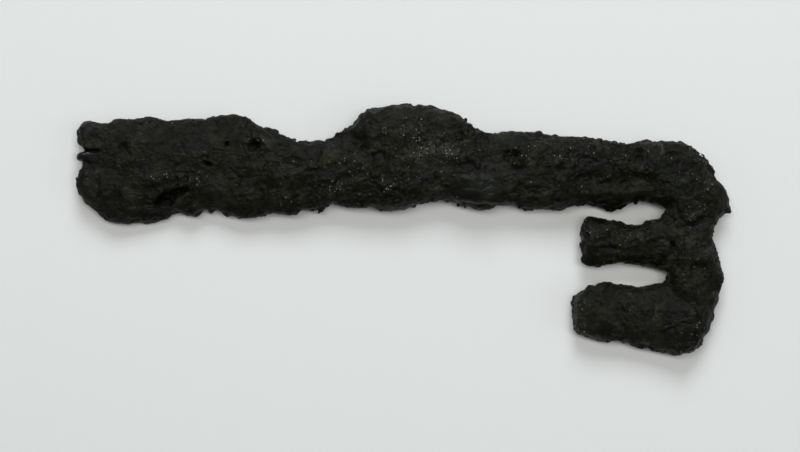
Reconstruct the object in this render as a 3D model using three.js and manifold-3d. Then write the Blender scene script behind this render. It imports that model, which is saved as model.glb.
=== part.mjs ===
import * as THREE from "three";
import { mergeVertices } from "three/addons/utils/BufferGeometryUtils.js";
import Module from "manifold-3d";

const wasm = await Module();
wasm.setup();

// A corroded iron lift key, in millimetres. It lies flat with its broken end at low X, its bit at
// high X and its teeth pointing back to low X. Z is up from the surface that it rests on.

// Handle plate and the shoulder where it narrows
const HANDLE_LENGTH = 44;
const HANDLE_WIDTH = 26.5;
const HANDLE_THICKNESS = 9.4;
const SHOULDER_LENGTH = 12.5;
const NECK_WIDTH = 18.6;
const NECK_THICKNESS = 10.6;

// Shank, measured from the neck to the inner side of the bit arm
const SHANK_LENGTH = 96.5;
const SHANK_WIDTH = 18.6;
const SHANK_END_WIDTH = 16.4;
const SHANK_THICKNESS = 11.6;

// Bit arm, measured from the upper edge of the shank to its far end
const ARM_LENGTH = 55;
const ARM_WIDTH = 13;
const ARM_THICKNESS = 11;

// Teeth and the slots before each of them
const INNER_SLOT = 3;
const INNER_TOOTH_LENGTH = 22.1;
const INNER_TOOTH_WIDTH = 12.7;
const INNER_TOOTH_THICKNESS = 9.6;
const OUTER_SLOT = 4.7;
const OUTER_TOOTH_LENGTH = 23.9;
const OUTER_TOOTH_WIDTH = 15;
const OUTER_TOOTH_THICKNESS = 10.2;
const ROOT_STUB = 1.2;

// How far the crust swells where the limbs meet: the shank's lower edge at the bit, the upper edge
// of the outer tooth, and how far below the shank's edge the outer corner of the bend starts
const BIT_SWELL = 1.1;
const TOOTH_SWELL = 0.4;
const BEND_DROP = 1.3;

// Sound iron left inside the crust
const CORE_STRIP_WIDTH = 15;
const CORE_STRIP_THICKNESS = 3.4;
const CORE_BAR_WIDTH = 8;
const CORE_BAR_THICKNESS = 4.6;
const CORE_ARM_WIDTH = 6.4;
const CORE_TOOTH_WIDTH = 5;
const CORE_TOOTH_THICKNESS = 3.6;
const TONGUE_WIDTH = 2.6;
const TONGUE_THICKNESS = 5.4;
const TONGUE_LENGTH = 5.4;
const TONGUE_OFFSET = 3.8;
const TONGUE_TAPER = 0.5;
const STRIP_OFFSET = 1.1;
const CORE_LEAN = 0.6;
const TIP_COVER = 5;

// Broken end, cracks and surface relief
const NOTCH_WIDTH = 2.7;
const NOTCH_DEPTH = 1.5;
const SEAM = 0.3;
const HUMP_SEAM = 0.5;
const CRACK_GAP = 0.36;
const CRACK_STEP = 3.4;
const CRACK_WANDER = 0.35;
const NECK_CRACK_TOP = 3.4;
const NECK_CRACK_FOOT = 1.9;
const BIT_CRACK_INSET = 1.9;
const SWELLING_HEIGHT = 0.38;
const SWELLING_PITCH = 3.8;
const NODULE_HEIGHT = 0.29;
const NODULE_PITCH = 2;
const END_ROUND = 2.2;
const END_TAPER = 0.8;
const CORE_END_ROUND = 0.8;
const HUMP_END_ROUND = 3;
const LEAST_HALF_WIDTH = 0.4;
const RING_PITCH = 2.4;
const CORE_RING_PITCH = 7.2;
const BED = 0.45;
const SLOPE_SPAN = 0.8;

// How square the cross sections are: 2 is an ellipse, and more is nearer to a box
const CRUST_SQUARENESS = 2.8;
const CORE_SQUARENESS = 3.4;
const LUMP_SQUARENESS = 2.5;

// Hollows where the crust has sunk or a blister has burst, and ridges between them: length along
// the limb, width across it, and depth below or height above the face
const HANDLE_CREVICE = { length: 8.4, width: 2.6, depth: 1.7 };
const CREVICE_FOOT = { length: 3.6, width: 3, depth: 1.8 };
const NECK_PIT = { length: 3, width: 2.4, depth: 1.6 };
const HUMP_VALLEY = { length: 21, width: 5, depth: 1.2 };
const SHANK_TROUGH = { length: 23, width: 5.8, depth: 1.4 };
const SHANK_CRATER = { length: 4.4, width: 3.2, depth: 1.5 };
const ARM_HOLLOW = { length: 6, width: 5, depth: 1.3 };
const HANDLE_SHELF = { length: 16, width: 5.6, height: 0.6 };
const SHOULDER_RIDGE = { length: 12, width: 4.8, height: 0.5 };
const SHANK_SHELF = { length: 36, width: 6, height: 0.6 };
const CRATER_KNOB = { length: 4.6, width: 3.8, height: 0.8 };

// Lumps of corrosion that sit in the crust: length along the limb, width across it, height, and
// how far those on an edge are lifted off the surface that the key rests on
const HUMP = { length: 36.5, width: 12.6, height: 13 };
const CORNER_NODULE = { length: 4.6, width: 5.2, height: 9 };
const END_SCAB = { length: 5.6, width: 7, height: 3 };
const LEDGE_FLAKE = { length: 17.6, width: 5.2, height: 6 };
const NECK_BLISTER = { length: 8, width: 5.8, height: 3.4 };
const SHANK_SCAB = { length: 13, width: 7.4, height: 3.6 };
const SHANK_DRIP = { length: 9, width: 4.6, height: 7, lift: 1.5 };
const EDGE_NODULE = { length: 4.2, width: 3.8, height: 6, lift: 2.5 };
const BEND_SPUR = { length: 8.2, width: 5.4, height: 7.4, lift: 2 };
const ARM_BOSS = { length: 7.2, width: 6, height: 3.2 };
const ARM_LUMP = { length: 6.8, width: 3.8, height: 7.6, lift: 1 };

// Places worked out from the sizes above. The bar's axis is Y = 0 and its broken end is X = 0.
const NECK_X = HANDLE_LENGTH + SHOULDER_LENGTH;
const ARM_INNER_X = NECK_X + SHANK_LENGTH;
const ARM_X = ARM_INNER_X + ARM_WIDTH / 2;
const SHANK_LOW_Y = -SHANK_END_WIDTH / 2 - BIT_SWELL;
const INNER_TOOTH_Y = SHANK_LOW_Y - INNER_SLOT - INNER_TOOTH_WIDTH / 2;
const OUTER_SLOT_TOP = INNER_TOOTH_Y - INNER_TOOTH_WIDTH / 2;
const OUTER_TOOTH_Y = OUTER_SLOT_TOP - OUTER_SLOT - OUTER_TOOTH_WIDTH / 2 - TOOTH_SWELL;
const ARM_TOP_Y = SHANK_END_WIDTH / 2 - BEND_DROP;

// Repeatable noise

function lattice(i, j, k) {
  let h = Math.imul(i, 374761393) ^ Math.imul(j, 668265263) ^ Math.imul(k, 1274126177);
  h = Math.imul(h ^ (h >>> 13), 1103515245);
  h = Math.imul(h ^ (h >>> 16), 2246822519);
  return ((h >>> 0) / 4294967295) * 2 - 1;
}

function noise(x, y, z) {
  const [i, j, k] = [Math.floor(x), Math.floor(y), Math.floor(z)];
  const [u, v, w] = [x - i, y - j, z - k].map((t) => t * t * (3 - 2 * t));
  let sum = 0;
  for (let corner = 0; corner < 8; corner++) {
    const [a, b, c] = [corner & 1, (corner >> 1) & 1, corner >> 2];
    const share = (a ? u : 1 - u) * (b ? v : 1 - v) * (c ? w : 1 - w);
    sum += share * lattice(i + a, j + b, k + c);
  }
  return sum;
}

// How far the crust stands proud at a point, from broad swellings and smaller nodules.
function relief(x, y, z) {
  const swelling = noise(x / SWELLING_PITCH, y / SWELLING_PITCH, z / SWELLING_PITCH);
  const nodules = noise(y / NODULE_PITCH, x / NODULE_PITCH, z / NODULE_PITCH);
  return SWELLING_HEIGHT * swelling + NODULE_HEIGHT * nodules;
}

// Solids, joined and cut

function solidOf(geometry) {
  geometry.deleteAttribute("normal");
  geometry.deleteAttribute("uv");
  const merged = mergeVertices(geometry, 1e-4);
  return new wasm.Manifold(
    new wasm.Mesh({
      numProp: 3,
      vertProperties: new Float32Array(merged.attributes.position.array),
      triVerts: new Uint32Array(merged.index.array),
    }),
  );
}

function geometryOf(solid) {
  const mesh = solid.getMesh();
  const geometry = new THREE.BufferGeometry();
  geometry.setAttribute("position", new THREE.BufferAttribute(mesh.vertProperties, 3));
  geometry.setIndex(new THREE.BufferAttribute(mesh.triVerts, 1));
  return geometry;
}

// Limbs: bars lofted through stations. A station gives the two edges, the thickness and the
// middle height at a distance along the limb, and a smooth curve runs through them.

function along(start, length, halfWidth, thickness, rows) {
  return rows.map(([share, upper, lower, thick = 1]) => ({
    at: start + share * length,
    upper: upper * halfWidth,
    lower: lower * halfWidth,
    thick: thick * thickness,
    mid: (thick * thickness) / 2 - BED,
  }));
}

function stationAt(stations, at) {
  let i = stations.findIndex((s) => s.at > at) - 1;
  if (i < 0) i = at <= stations[0].at ? 0 : stations.length - 2;
  const [p, a, b, n] = [i - 1, i, i + 1, i + 2].map(
    (k) => stations[Math.min(Math.max(k, 0), stations.length - 1)],
  );
  const t = THREE.MathUtils.clamp((at - a.at) / (b.at - a.at), 0, 1);
  const blend = (key) => {
    const slopeA = (b[key] - p[key]) / Math.max(b.at - p.at, 1e-6);
    const slopeB = (n[key] - a[key]) / Math.max(n.at - a.at, 1e-6);
    const span = b.at - a.at;
    const rise = (2 * t ** 3 - 3 * t ** 2 + 1) * a[key] + (3 * t ** 2 - 2 * t ** 3) * b[key];
    return rise + span * ((t ** 3 - 2 * t ** 2 + t) * slopeA + (t ** 3 - t ** 2) * slopeB);
  };
  return { upper: blend("upper"), lower: blend("lower"), thick: blend("thick"), mid: blend("mid") };
}

// Where a limb's own distance, sideways place and height lie in the part.
function place(limb, at, across, z) {
  const [dx, dy] = limb.direction;
  return [limb.origin[0] + at * dx - across * dy, limb.origin[1] + at * dy + across * dx, z];
}

// The rings run along the limb, closer together in the rounded ends.
const END_RINGS = [0, 0.15, 0.5, 1];

function ringPlaces(length, round, pitch) {
  const ends = END_RINGS.map((share) => share * round);
  const count = Math.max(2, Math.round((length - 2 * round) / pitch));
  const step = (length - 2 * round) / count;
  const middle = Array.from({ length: count - 1 }, (_, i) => round + (i + 1) * step);
  return [...ends, ...middle, ...ends.map((e) => length - e).reverse()];
}

// How steeply a limb's edges run at a distance along it, as a factor on a gap set off from them.
function steepness(stations, at) {
  const [before, after] = [stationAt(stations, at - SLOPE_SPAN), stationAt(stations, at + SLOPE_SPAN)];
  const rise = (key) => (after[key] - before[key]) / (2 * SLOPE_SPAN);
  return Math.hypot(1, Math.max(Math.abs(rise("upper")), Math.abs(rise("lower"))));
}

function limbSolid(limb, { grow = 0, rough = 1, bedded = true } = {}) {
  const { length, stations, sides, square = CRUST_SQUARENESS } = limb;
  const round = Math.min(limb.round ?? END_ROUND, length / 3);
  const points = [];
  const push = (at, across, z, outAlong, outAcross, outZ) => {
    const lift = grow * steepness(stations, at) + rough * relief(...place(limb, at, across, z));
    const point = place(limb, at + lift * outAlong, across + lift * outAcross, z + lift * outZ);
    if (bedded) point[2] = Math.max(point[2], 0);
    points.push(...point);
  };
  const rings = ringPlaces(length, round, limb.pitch ?? RING_PITCH);
  for (const at of rings) {
    const s = stationAt(stations, at);
    const inEnd = Math.max(0, 1 - Math.min(at, length - at) / round);
    const shrink = round * (1 - Math.sqrt(1 - inEnd ** 2)) * END_TAPER;
    const halfWidth = Math.max((s.upper - s.lower) / 2 - shrink, LEAST_HALF_WIDTH);
    const halfThick = Math.max(s.thick / 2 - shrink, LEAST_HALF_WIDTH);
    const lean = inEnd * (at < length / 2 ? -1 : 1);
    for (let i = 0; i < sides; i++) {
      const angle = (2 * Math.PI * (i + 0.5)) / sides;
      const [c, n] = [Math.cos(angle), Math.sin(angle)];
      const across = Math.sign(c) * Math.abs(c) ** (2 / square);
      const up = Math.sign(n) * Math.abs(n) ** (2 / square);
      const out = new THREE.Vector3(lean, across ** 3 / halfWidth, up ** 3 / halfThick);
      out.set(lean, ...new THREE.Vector2(out.y, out.z).setLength(Math.sqrt(1 - lean ** 2) + 1e-6));
      push(at, (s.upper + s.lower) / 2 + across * halfWidth, s.mid + up * halfThick, ...out);
    }
  }
  const [first, last] = [stationAt(stations, 0), stationAt(stations, length)];
  push(0, (first.upper + first.lower) / 2, first.mid, -1, 0, 0);
  push(length, (last.upper + last.lower) / 2, last.mid, 1, 0, 0);
  const index = [];
  const foot = rings.length * sides;
  const lastRing = (rings.length - 1) * sides;
  for (let i = 0; i < sides; i++) {
    const j = (i + 1) % sides;
    for (let r = 0; r < rings.length - 1; r++) {
      const [a, b] = [r * sides + i, r * sides + j];
      index.push(a, b, a + sides, b, b + sides, a + sides);
    }
    index.push(foot, j, i, foot + 1, lastRing + i, lastRing + j);
  }
  const geometry = new THREE.BufferGeometry();
  geometry.setAttribute("position", new THREE.Float32BufferAttribute(points, 3));
  geometry.setIndex(index);
  return solidOf(geometry);
}

// The bar: handle plate, shoulder and shank in one limb, edges as shares of the half widths

const shoulderEdge = (share) => THREE.MathUtils.lerp(HANDLE_WIDTH, NECK_WIDTH, share) / 2;
const shankHalf = (share) => THREE.MathUtils.lerp(SHANK_WIDTH, SHANK_END_WIDTH, share) / 2;

const handleStations = along(0, HANDLE_LENGTH, HANDLE_WIDTH / 2, HANDLE_THICKNESS, [
  [0, 0.93, -0.64, 0.86],
  [0.09, 0.98, -0.78, 0.94],
  [0.16, 0.93, -0.97],
  [0.23, 1.01, -1.03],
  [0.37, 1.03, -0.96, 1.03],
  [0.48, 1.04, -0.87],
  [0.56, 0.98, -0.8, 0.97],
  [0.69, 1.04, -0.92],
  [0.76, 1.03, -0.8, 1.02],
  [0.84, 1.11, -0.86],
  [0.96, 1.1, -1.0],
]);

const shoulderStations = [
  [0.18, 0.97, -0.98],
  [0.5, 0.89, -1.0],
  [0.85, 0.76, -1.12],
].map(([share, upper, lower]) => {
  const thick = THREE.MathUtils.lerp(HANDLE_THICKNESS, NECK_THICKNESS, share);
  return {
    at: HANDLE_LENGTH + share * SHOULDER_LENGTH,
    upper: upper * shoulderEdge(share * 0.7),
    lower: lower * shoulderEdge(share * 0.7),
    thick,
    mid: thick / 2 - BED,
  };
});

const shankStations = [
  [0.03, 0.8, -1.17, 0.92],
  [0.07, 0.82, -1.08, 0.93],
  [0.12, 1.0, -0.98, 0.97],
  [0.18, 1.08, -1.11, 1],
  [0.28, 1.1, -1.12, 1.04],
  [0.34, 1.1, -1.0, 1.02],
  [0.41, 1.1, -0.95, 1],
  [0.5, 1.16, -1.19, 1],
  [0.57, 1.14, -1.07, 0.98],
  [0.63, 1.1, -1.25, 1],
  [0.71, 1.02, -1.22, 1.02],
  [0.78, 1.03, -1.06, 0.98],
  [0.85, 0.87, -1.21, 0.97],
  [0.92, 0.85, -1.04, 1],
  [1.0, 0.94, -1.2, 0.98],
].flatMap(([share, upper, lower, thick]) =>
  along(NECK_X + share * SHANK_LENGTH, 0, shankHalf(share), SHANK_THICKNESS, [
    [0, upper, lower, thick],
  ]),
);

const bendStation = along(ARM_X, 0, SHANK_END_WIDTH / 2, ARM_THICKNESS, [[0, 0.86, -1.14]]);

const bar = {
  origin: [0, 0],
  direction: [1, 0],
  length: ARM_X,
  stations: [...handleStations, ...shoulderStations, ...shankStations, ...bendStation],
  sides: 24,
};

// The arm runs down from the bend. Its upper edge is the outer side of the key.

const arm = {
  origin: [ARM_X, ARM_TOP_Y],
  direction: [0, -1],
  length: ARM_LENGTH,
  stations: along(0, ARM_LENGTH, ARM_WIDTH / 2, ARM_THICKNESS, [
    [0, -0.1, -1, 0.9],
    [0.06, 0.42, -1],
    [0.13, 0.86, -1],
    [0.22, 1.12, -1],
    [0.33, 1.17, -1],
    [0.42, 0.9, -0.98],
    [0.51, 1.08, -1],
    [0.61, 1.1, -0.95],
    [0.73, 1.15, -1],
    [0.81, 0.91, -1],
    [0.89, 0.67, -1],
    [0.96, 0.36, -1, 0.94],
    [1, 0, -0.95, 0.88],
  ]),
  sides: 20,
};

// The teeth run from their tips to the middle of the arm, and widen where they leave it.

function tooth(length, y, width, thickness, rows) {
  const reach = length + ARM_WIDTH / 2;
  return {
    origin: [ARM_INNER_X - length, y],
    direction: [1, 0],
    length: reach,
    stations: along(0, reach, width / 2, thickness, rows),
    sides: 20,
  };
}

const innerTooth = tooth(
  INNER_TOOTH_LENGTH,
  INNER_TOOTH_Y,
  INNER_TOOTH_WIDTH,
  INNER_TOOTH_THICKNESS,
  [
    [0, 0.78, -0.82, 0.9],
    [0.08, 1.07, -0.98],
    [0.2, 0.92, -1.03],
    [0.31, 0.86, -0.95, 0.97],
    [0.43, 0.78, -0.92],
    [0.56, 0.83, -1.02, 1.03],
    [0.68, 0.94, -1.12],
    [0.77, 1.12, -1.22, 1.06],
    [0.86, 1.35, -1.4, 1.08],
    [1, 1.35, -1.4, 1.08],
  ],
);

const outerTooth = tooth(
  OUTER_TOOTH_LENGTH,
  OUTER_TOOTH_Y,
  OUTER_TOOTH_WIDTH,
  OUTER_TOOTH_THICKNESS,
  [
    [0, 0.75, -0.6, 0.9],
    [0.08, 0.92, -0.76],
    [0.19, 1.03, -0.9],
    [0.34, 1.06, -0.96, 0.98],
    [0.49, 0.98, -1.08],
    [0.64, 1.0, -1.2, 1.02],
    [0.76, 1.08, -1.32],
    [0.86, 1.14, -1.4, 1.04],
    [1, 1.14, -1.36, 1.04],
  ],
);

// The core follows the middle of the crust round it.

function coreOf(host, from, to, rows, thickness, cover = 0) {
  const stations = rows.map(([at, offset, width, thick = 1]) => ({
    at: at - from,
    upper: offset + width / 2,
    lower: offset - width / 2,
    thick: thick * thickness,
    mid: stationAt(host.stations, at).mid,
  }));
  return {
    origin: place(host, from, 0, 0).slice(0, 2),
    direction: host.direction,
    length: to - from - cover,
    stations,
    sides: 8,
    square: CORE_SQUARENESS,
    round: CORE_END_ROUND,
    pitch: CORE_RING_PITCH,
  };
}

const toothMiddle = (host) => {
  const { upper, lower } = stationAt(host.stations, (host.length - ARM_WIDTH / 2) / 2);
  return (upper + lower) / 2;
};

const coreBar = coreOf(
  bar,
  0,
  ARM_X,
  [
    [0, TONGUE_OFFSET, TONGUE_WIDTH - TONGUE_TAPER, TONGUE_THICKNESS / CORE_BAR_THICKNESS],
    [TONGUE_LENGTH, TONGUE_OFFSET, TONGUE_WIDTH, TONGUE_THICKNESS / CORE_BAR_THICKNESS],
    [TONGUE_LENGTH * 2, STRIP_OFFSET, CORE_STRIP_WIDTH, CORE_STRIP_THICKNESS / CORE_BAR_THICKNESS],
    [HANDLE_LENGTH, STRIP_OFFSET, CORE_STRIP_WIDTH, CORE_STRIP_THICKNESS / CORE_BAR_THICKNESS],
    [NECK_X, 0, CORE_BAR_WIDTH],
    [NECK_X + SHANK_LENGTH / 2, 0, CORE_BAR_WIDTH],
    [ARM_X, 0, CORE_BAR_WIDTH],
  ],
  CORE_BAR_THICKNESS,
);

const coreArm = coreOf(
  arm,
  ARM_TOP_Y - CORE_BAR_WIDTH / 2,
  ARM_LENGTH,
  [
    [ARM_TOP_Y - CORE_BAR_WIDTH / 2, 0, CORE_ARM_WIDTH],
    [ARM_LENGTH, -CORE_LEAN, CORE_ARM_WIDTH],
  ],
  CORE_BAR_THICKNESS,
  TIP_COVER,
);

const coreTooth = (host) =>
  coreOf(
    host,
    TIP_COVER,
    host.length,
    [
      [TIP_COVER, toothMiddle(host), CORE_TOOTH_WIDTH],
      [host.length, toothMiddle(host), CORE_TOOTH_WIDTH],
    ],
    CORE_TOOTH_THICKNESS,
  );

function coreSolid(grow) {
  const options = { grow, rough: 0, bedded: false };
  return [coreBar, coreArm, coreTooth(innerTooth), coreTooth(outerTooth)]
    .map((limb) => limbSolid(limb, options))
    .reduce((whole, limb) => whole.add(limb));
}

// Cracks part the crust into sleeves. A crack is a zigzag line through its corners, and a region
// is all that lies on one side of it.

function crackLine(corners) {
  const line = [];
  corners.slice(1).forEach(([bx, by], i) => {
    const [ax, ay] = corners[i];
    const steps = Math.max(1, Math.round(Math.abs(by - ay) / CRACK_STEP));
    for (let k = 0; k < steps; k++) {
      const t = k / steps;
      const wander = k === 0 ? 0 : (k % 2 ? 1 : -1) * CRACK_WANDER;
      line.push([ax + (bx - ax) * t + wander, ay + (by - ay) * t]);
    }
  });
  line.push(corners[corners.length - 1]);
  return line;
}

// Cuts reach past the whole key.
const CLEAR = ARM_X + ARM_LENGTH;

function regionSolid(line, side) {
  const shift = (side * CRACK_GAP) / 2;
  const far = side * 2 * CLEAR;
  const shape = new THREE.Shape();
  line.forEach(([x, y], i) => (i ? shape.lineTo(x + shift, y) : shape.moveTo(x + shift, y)));
  shape.lineTo(far, line[line.length - 1][1]);
  shape.lineTo(far, line[0][1]);
  const depth = 2 * CLEAR;
  const geometry = new THREE.ExtrudeGeometry(shape, { depth, bevelEnabled: false });
  geometry.translate(0, 0, -depth / 2);
  return solidOf(geometry);
}

const neckCrack = crackLine([
  [NECK_X + NECK_CRACK_TOP, CLEAR],
  [NECK_X + NECK_CRACK_TOP, HANDLE_WIDTH / 2],
  [NECK_X + NECK_CRACK_FOOT, -HANDLE_WIDTH / 2],
  [NECK_X + NECK_CRACK_FOOT, -CLEAR],
]);

const bitCrack = crackLine([
  [ARM_X, CLEAR],
  [ARM_X, SHANK_END_WIDTH / 2],
  [ARM_INNER_X + BIT_CRACK_INSET, 0],
  [ARM_INNER_X - ROOT_STUB, SHANK_LOW_Y],
  [ARM_INNER_X - ROOT_STUB, OUTER_SLOT_TOP],
  [ARM_INNER_X - ROOT_STUB, ARM_TOP_Y - ARM_LENGTH],
  [ARM_INNER_X - ROOT_STUB, -CLEAR],
]);

// The broken end: the crust is gone on both sides of the core's tongue and above it. One notch
// runs up to the nodule at the corner.

const NODULE_ACROSS = 0.74;

function blockSolid(x0, x1, y0, y1, z0, z1) {
  const geometry = new THREE.BoxGeometry(x1 - x0, y1 - y0, z1 - z0);
  geometry.translate((x0 + x1) / 2, (y0 + y1) / 2, (z0 + z1) / 2);
  return solidOf(geometry);
}

function brokenEndCut() {
  const reach = TONGUE_WIDTH / 2 + NOTCH_WIDTH;
  const channel = TONGUE_WIDTH / 2 + SEAM;
  const { upper, lower, mid } = stationAt(bar.stations, 0);
  const nodule = (upper + lower) / 2 + (NODULE_ACROSS * (upper - lower)) / 2;
  const notches = blockSolid(-CLEAR, NOTCH_DEPTH, TONGUE_OFFSET - reach, nodule, -CLEAR, CLEAR);
  const open = blockSolid(
    -CLEAR,
    TONGUE_LENGTH,
    TONGUE_OFFSET - channel,
    TONGUE_OFFSET + channel,
    mid,
    CLEAR,
  );
  return notches.add(open);
}

// Rounded, noisy bodies set into the face or an edge of a limb: the lumps, and the hollows and
// ridges of the crust

const LUMP_ROUGHNESS = 0.7;
const UP = new THREE.Vector3(0, 0, 1);

function faceHeight(limb, at, across) {
  const { mid, thick } = stationAt(limb.stations, at);
  const share = Math.min(Math.abs(across), 1);
  return mid + (thick / 2) * (1 - share ** CRUST_SQUARENESS) ** (1 / CRUST_SQUARENESS);
}

function sidePlace(limb, at, across) {
  const { upper, lower } = stationAt(limb.stations, at);
  return (upper + lower) / 2 + (across * (upper - lower)) / 2;
}

function roundedSolid([cx, cy, cz], size, heading, { grow = 0, bedded = true, sides = 12 } = {}) {
  const ball = new THREE.SphereGeometry(1, sides, Math.round(sides / 1.5)).rotateX(Math.PI / 2);
  ball.deleteAttribute("normal");
  ball.deleteAttribute("uv");
  const geometry = mergeVertices(ball, 1e-4);
  const position = geometry.attributes.position;
  const p = new THREE.Vector3();
  for (let i = 0; i < position.count; i++) {
    p.fromBufferAttribute(position, i);
    const powers = p.toArray().map((c) => Math.abs(c) ** LUMP_SQUARENESS);
    const swell = (powers[0] + powers[1] + powers[2]) ** (-1 / LUMP_SQUARENESS);
    const out = p.clone();
    p.multiplyScalar(swell / 2).multiply(new THREE.Vector3(size.length, size.width, size.height));
    p.addScaledVector(out, grow + LUMP_ROUGHNESS * relief(p.x + cx, p.y + cy, p.z + cz));
    p.applyAxisAngle(UP, heading);
    position.setXYZ(i, cx + p.x, cy + p.y, bedded ? Math.max(cz + p.z, 0) : cz + p.z);
  }
  return solidOf(geometry);
}

const headingOf = (limb) => Math.atan2(limb.direction[1], limb.direction[0]);

function lumpSolid({ limb, at, across, size, sink }, grow = 0) {
  const onEdge = Math.abs(across) === 1;
  const inward = onEdge ? across * (0.5 - sink) * size.width : 0;
  const lifted = size.height / 2 - BED + (size.lift ?? 0);
  const seated = faceHeight(limb, at, across) + (0.5 - sink) * size.height;
  const centre = place(limb, at, sidePlace(limb, at, across) + inward, onEdge ? lifted : seated);
  return roundedSolid(centre, size, headingOf(limb), { grow, bedded: !grow });
}

const DENT_SIDES = 10;

// A hollow's middle is on the face, and it is as wide there as it gets.
function hollowSolid({ limb, at, across, size, turn = 0 }) {
  const centre = place(limb, at, sidePlace(limb, at, across), faceHeight(limb, at, across));
  const shape = { ...size, height: 2 * size.depth };
  return roundedSolid(centre, shape, headingOf(limb) + turn, { bedded: false, sides: DENT_SIDES });
}

// A ridge is a deep body of which only the top stands out of the face.
const RIDGE_ROOT = 1.6;

function ridgeSolid({ limb, at, across, size, turn = 0 }) {
  const z = faceHeight(limb, at, across) + (size.height - RIDGE_ROOT) / 2;
  const centre = place(limb, at, sidePlace(limb, at, across), z);
  const shape = { ...size, height: size.height + RIDGE_ROOT };
  return roundedSolid(centre, shape, headingOf(limb) + turn, { sides: DENT_SIDES });
}

const onShank = (share) => NECK_X + share * SHANK_LENGTH;
const onHandle = (share) => share * HANDLE_LENGTH;
const onShoulder = (share) => HANDLE_LENGTH + share * SHOULDER_LENGTH;

const hollows = [
  { limb: bar, at: onHandle(0.57), across: -0.65, size: HANDLE_CREVICE, turn: 0.43 },
  { limb: bar, at: onHandle(0.515), across: -0.76, size: CREVICE_FOOT, turn: 0.3 },
  { limb: bar, at: onShoulder(0.13), across: 0.49, size: NECK_PIT },
  { limb: bar, at: onShank(0.377), across: 0.05, size: HUMP_VALLEY },
  { limb: bar, at: onShank(0.86), across: -0.17, size: SHANK_TROUGH },
  { limb: bar, at: onShank(0.585), across: 0.37, size: SHANK_CRATER },
  { limb: arm, at: ARM_LENGTH * 0.6, across: 0.19, size: ARM_HOLLOW },
];

const ridges = [
  { limb: bar, at: onHandle(0.78), across: -0.5, size: HANDLE_SHELF, turn: -0.15 },
  { limb: bar, at: onShoulder(0.5), across: 0.66, size: SHOULDER_RIDGE, turn: -0.66 },
  { limb: bar, at: onShank(0.76), across: 0.6, size: SHANK_SHELF },
  { limb: bar, at: onShank(0.248), across: -0.42, size: CRATER_KNOB },
];

const lumps = {
  handle_corner_nodule: {
    limb: bar, at: CORNER_NODULE.length / 2, across: NODULE_ACROSS, size: CORNER_NODULE, sink: 0.9,
  },
  handle_end_scab: { limb: bar, at: onHandle(0.075), across: -0.5, size: END_SCAB, sink: 0.72 },
  handle_ledge_flake: { limb: bar, at: onHandle(0.34), across: -1, size: LEDGE_FLAKE, sink: 0.78 },
  neck_blister: {
    limb: bar, at: onShoulder(0.86), across: 0.06, size: NECK_BLISTER, sink: 0.68,
  },
  shank_scab: { limb: bar, at: onShank(0.488), across: -0.5, size: SHANK_SCAB, sink: 0.66 },
  shank_drip: { limb: bar, at: onShank(0.272), across: -1, size: SHANK_DRIP, sink: 0.8 },
  edge_nodule: { limb: bar, at: onShank(0.94), across: 1, size: EDGE_NODULE, sink: 0.7 },
  bend_spur: { limb: arm, at: ARM_LENGTH * 0.265, across: 1, size: BEND_SPUR, sink: 0.6 },
  arm_boss: { limb: arm, at: ARM_LENGTH * 0.49, across: 0.2, size: ARM_BOSS, sink: 0.7 },
  arm_lump: { limb: arm, at: ARM_LENGTH * 0.63, across: 1, size: ARM_LUMP, sink: 0.76 },
};

// The hump is a long concretion that lies along the upper edge of the shank.

const humpStart = onShank(0.115);
const humpTop = stationAt(bar.stations, humpStart + HUMP.length / 2).upper;

const hump = {
  origin: [humpStart, humpTop],
  direction: [1, 0],
  length: HUMP.length,
  stations: along(0, HUMP.length, HUMP.width, HUMP.height, [
    [0, 0.04, -0.12, 0.7],
    [0.1, 0.14, -0.24, 0.86],
    [0.18, 0.46, -0.32, 0.96],
    [0.27, 0.53, -0.35],
    [0.44, 0.58, -0.38],
    [0.7, 0.53, -0.37, 1.02],
    [0.82, 0.41, -0.33],
    [0.92, 0.2, -0.29, 0.9],
    [1, 0.08, -0.16, 0.72],
  ]),
  sides: 18,
  round: HUMP_END_ROUND,
};

// Crust sleeves, cut from the joined limbs

const core = coreSolid(0);
const joined = (solids) => solids.reduce((whole, solid) => whole.add(solid));
const cuts = joined([
  coreSolid(SEAM),
  limbSolid(hump, { grow: HUMP_SEAM, bedded: false }),
  ...Object.values(lumps).map((lump) => lumpSolid(lump, SEAM)),
  ...hollows.map(hollowSolid),
]);

const barSkin = joined([limbSolid(bar), ...ridges.map(ridgeSolid)]).subtract(brokenEndCut());
const innerSkin = limbSolid(innerTooth);
const outerSkin = limbSolid(outerTooth);
const bitSkin = joined([limbSolid(arm), barSkin, innerSkin, outerSkin]);

// Crumbs that the cuts leave loose fall away.
const CRUMB_VOLUME = 1.5;

function sleeve(skin, ...regions) {
  const cut = regions.reduce((left, region) => left.intersect(region), skin).subtract(cuts);
  const bodies = cut.decompose().filter((body) => body.volume() > CRUMB_VOLUME);
  return bodies.reduce((whole, body) => whole.add(body));
}

const beforeNeck = regionSolid(neckCrack, -1);
const pastNeck = regionSolid(neckCrack, 1);
const beforeBit = regionSolid(bitCrack, -1);
const pastBit = regionSolid(bitCrack, 1);

// Materials

const finish = (color, roughness, metalness) =>
  new THREE.MeshStandardMaterial({ color, roughness, metalness });

const darkCrust = finish(0x1f201b, 0.55, 0.2);
const smoothScab = finish(0x2c2e27, 0.38, 0.25);
const soundIron = finish(0x2a2b29, 0.35, 0.6);

// The whole key, moved so that the middle of its box is at the origin and it stands on Z = 0

const group = new THREE.Group();

function addPiece(name, solid, material) {
  const mesh = new THREE.Mesh(geometryOf(solid), material);
  mesh.name = name;
  group.add(mesh);
}

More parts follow.
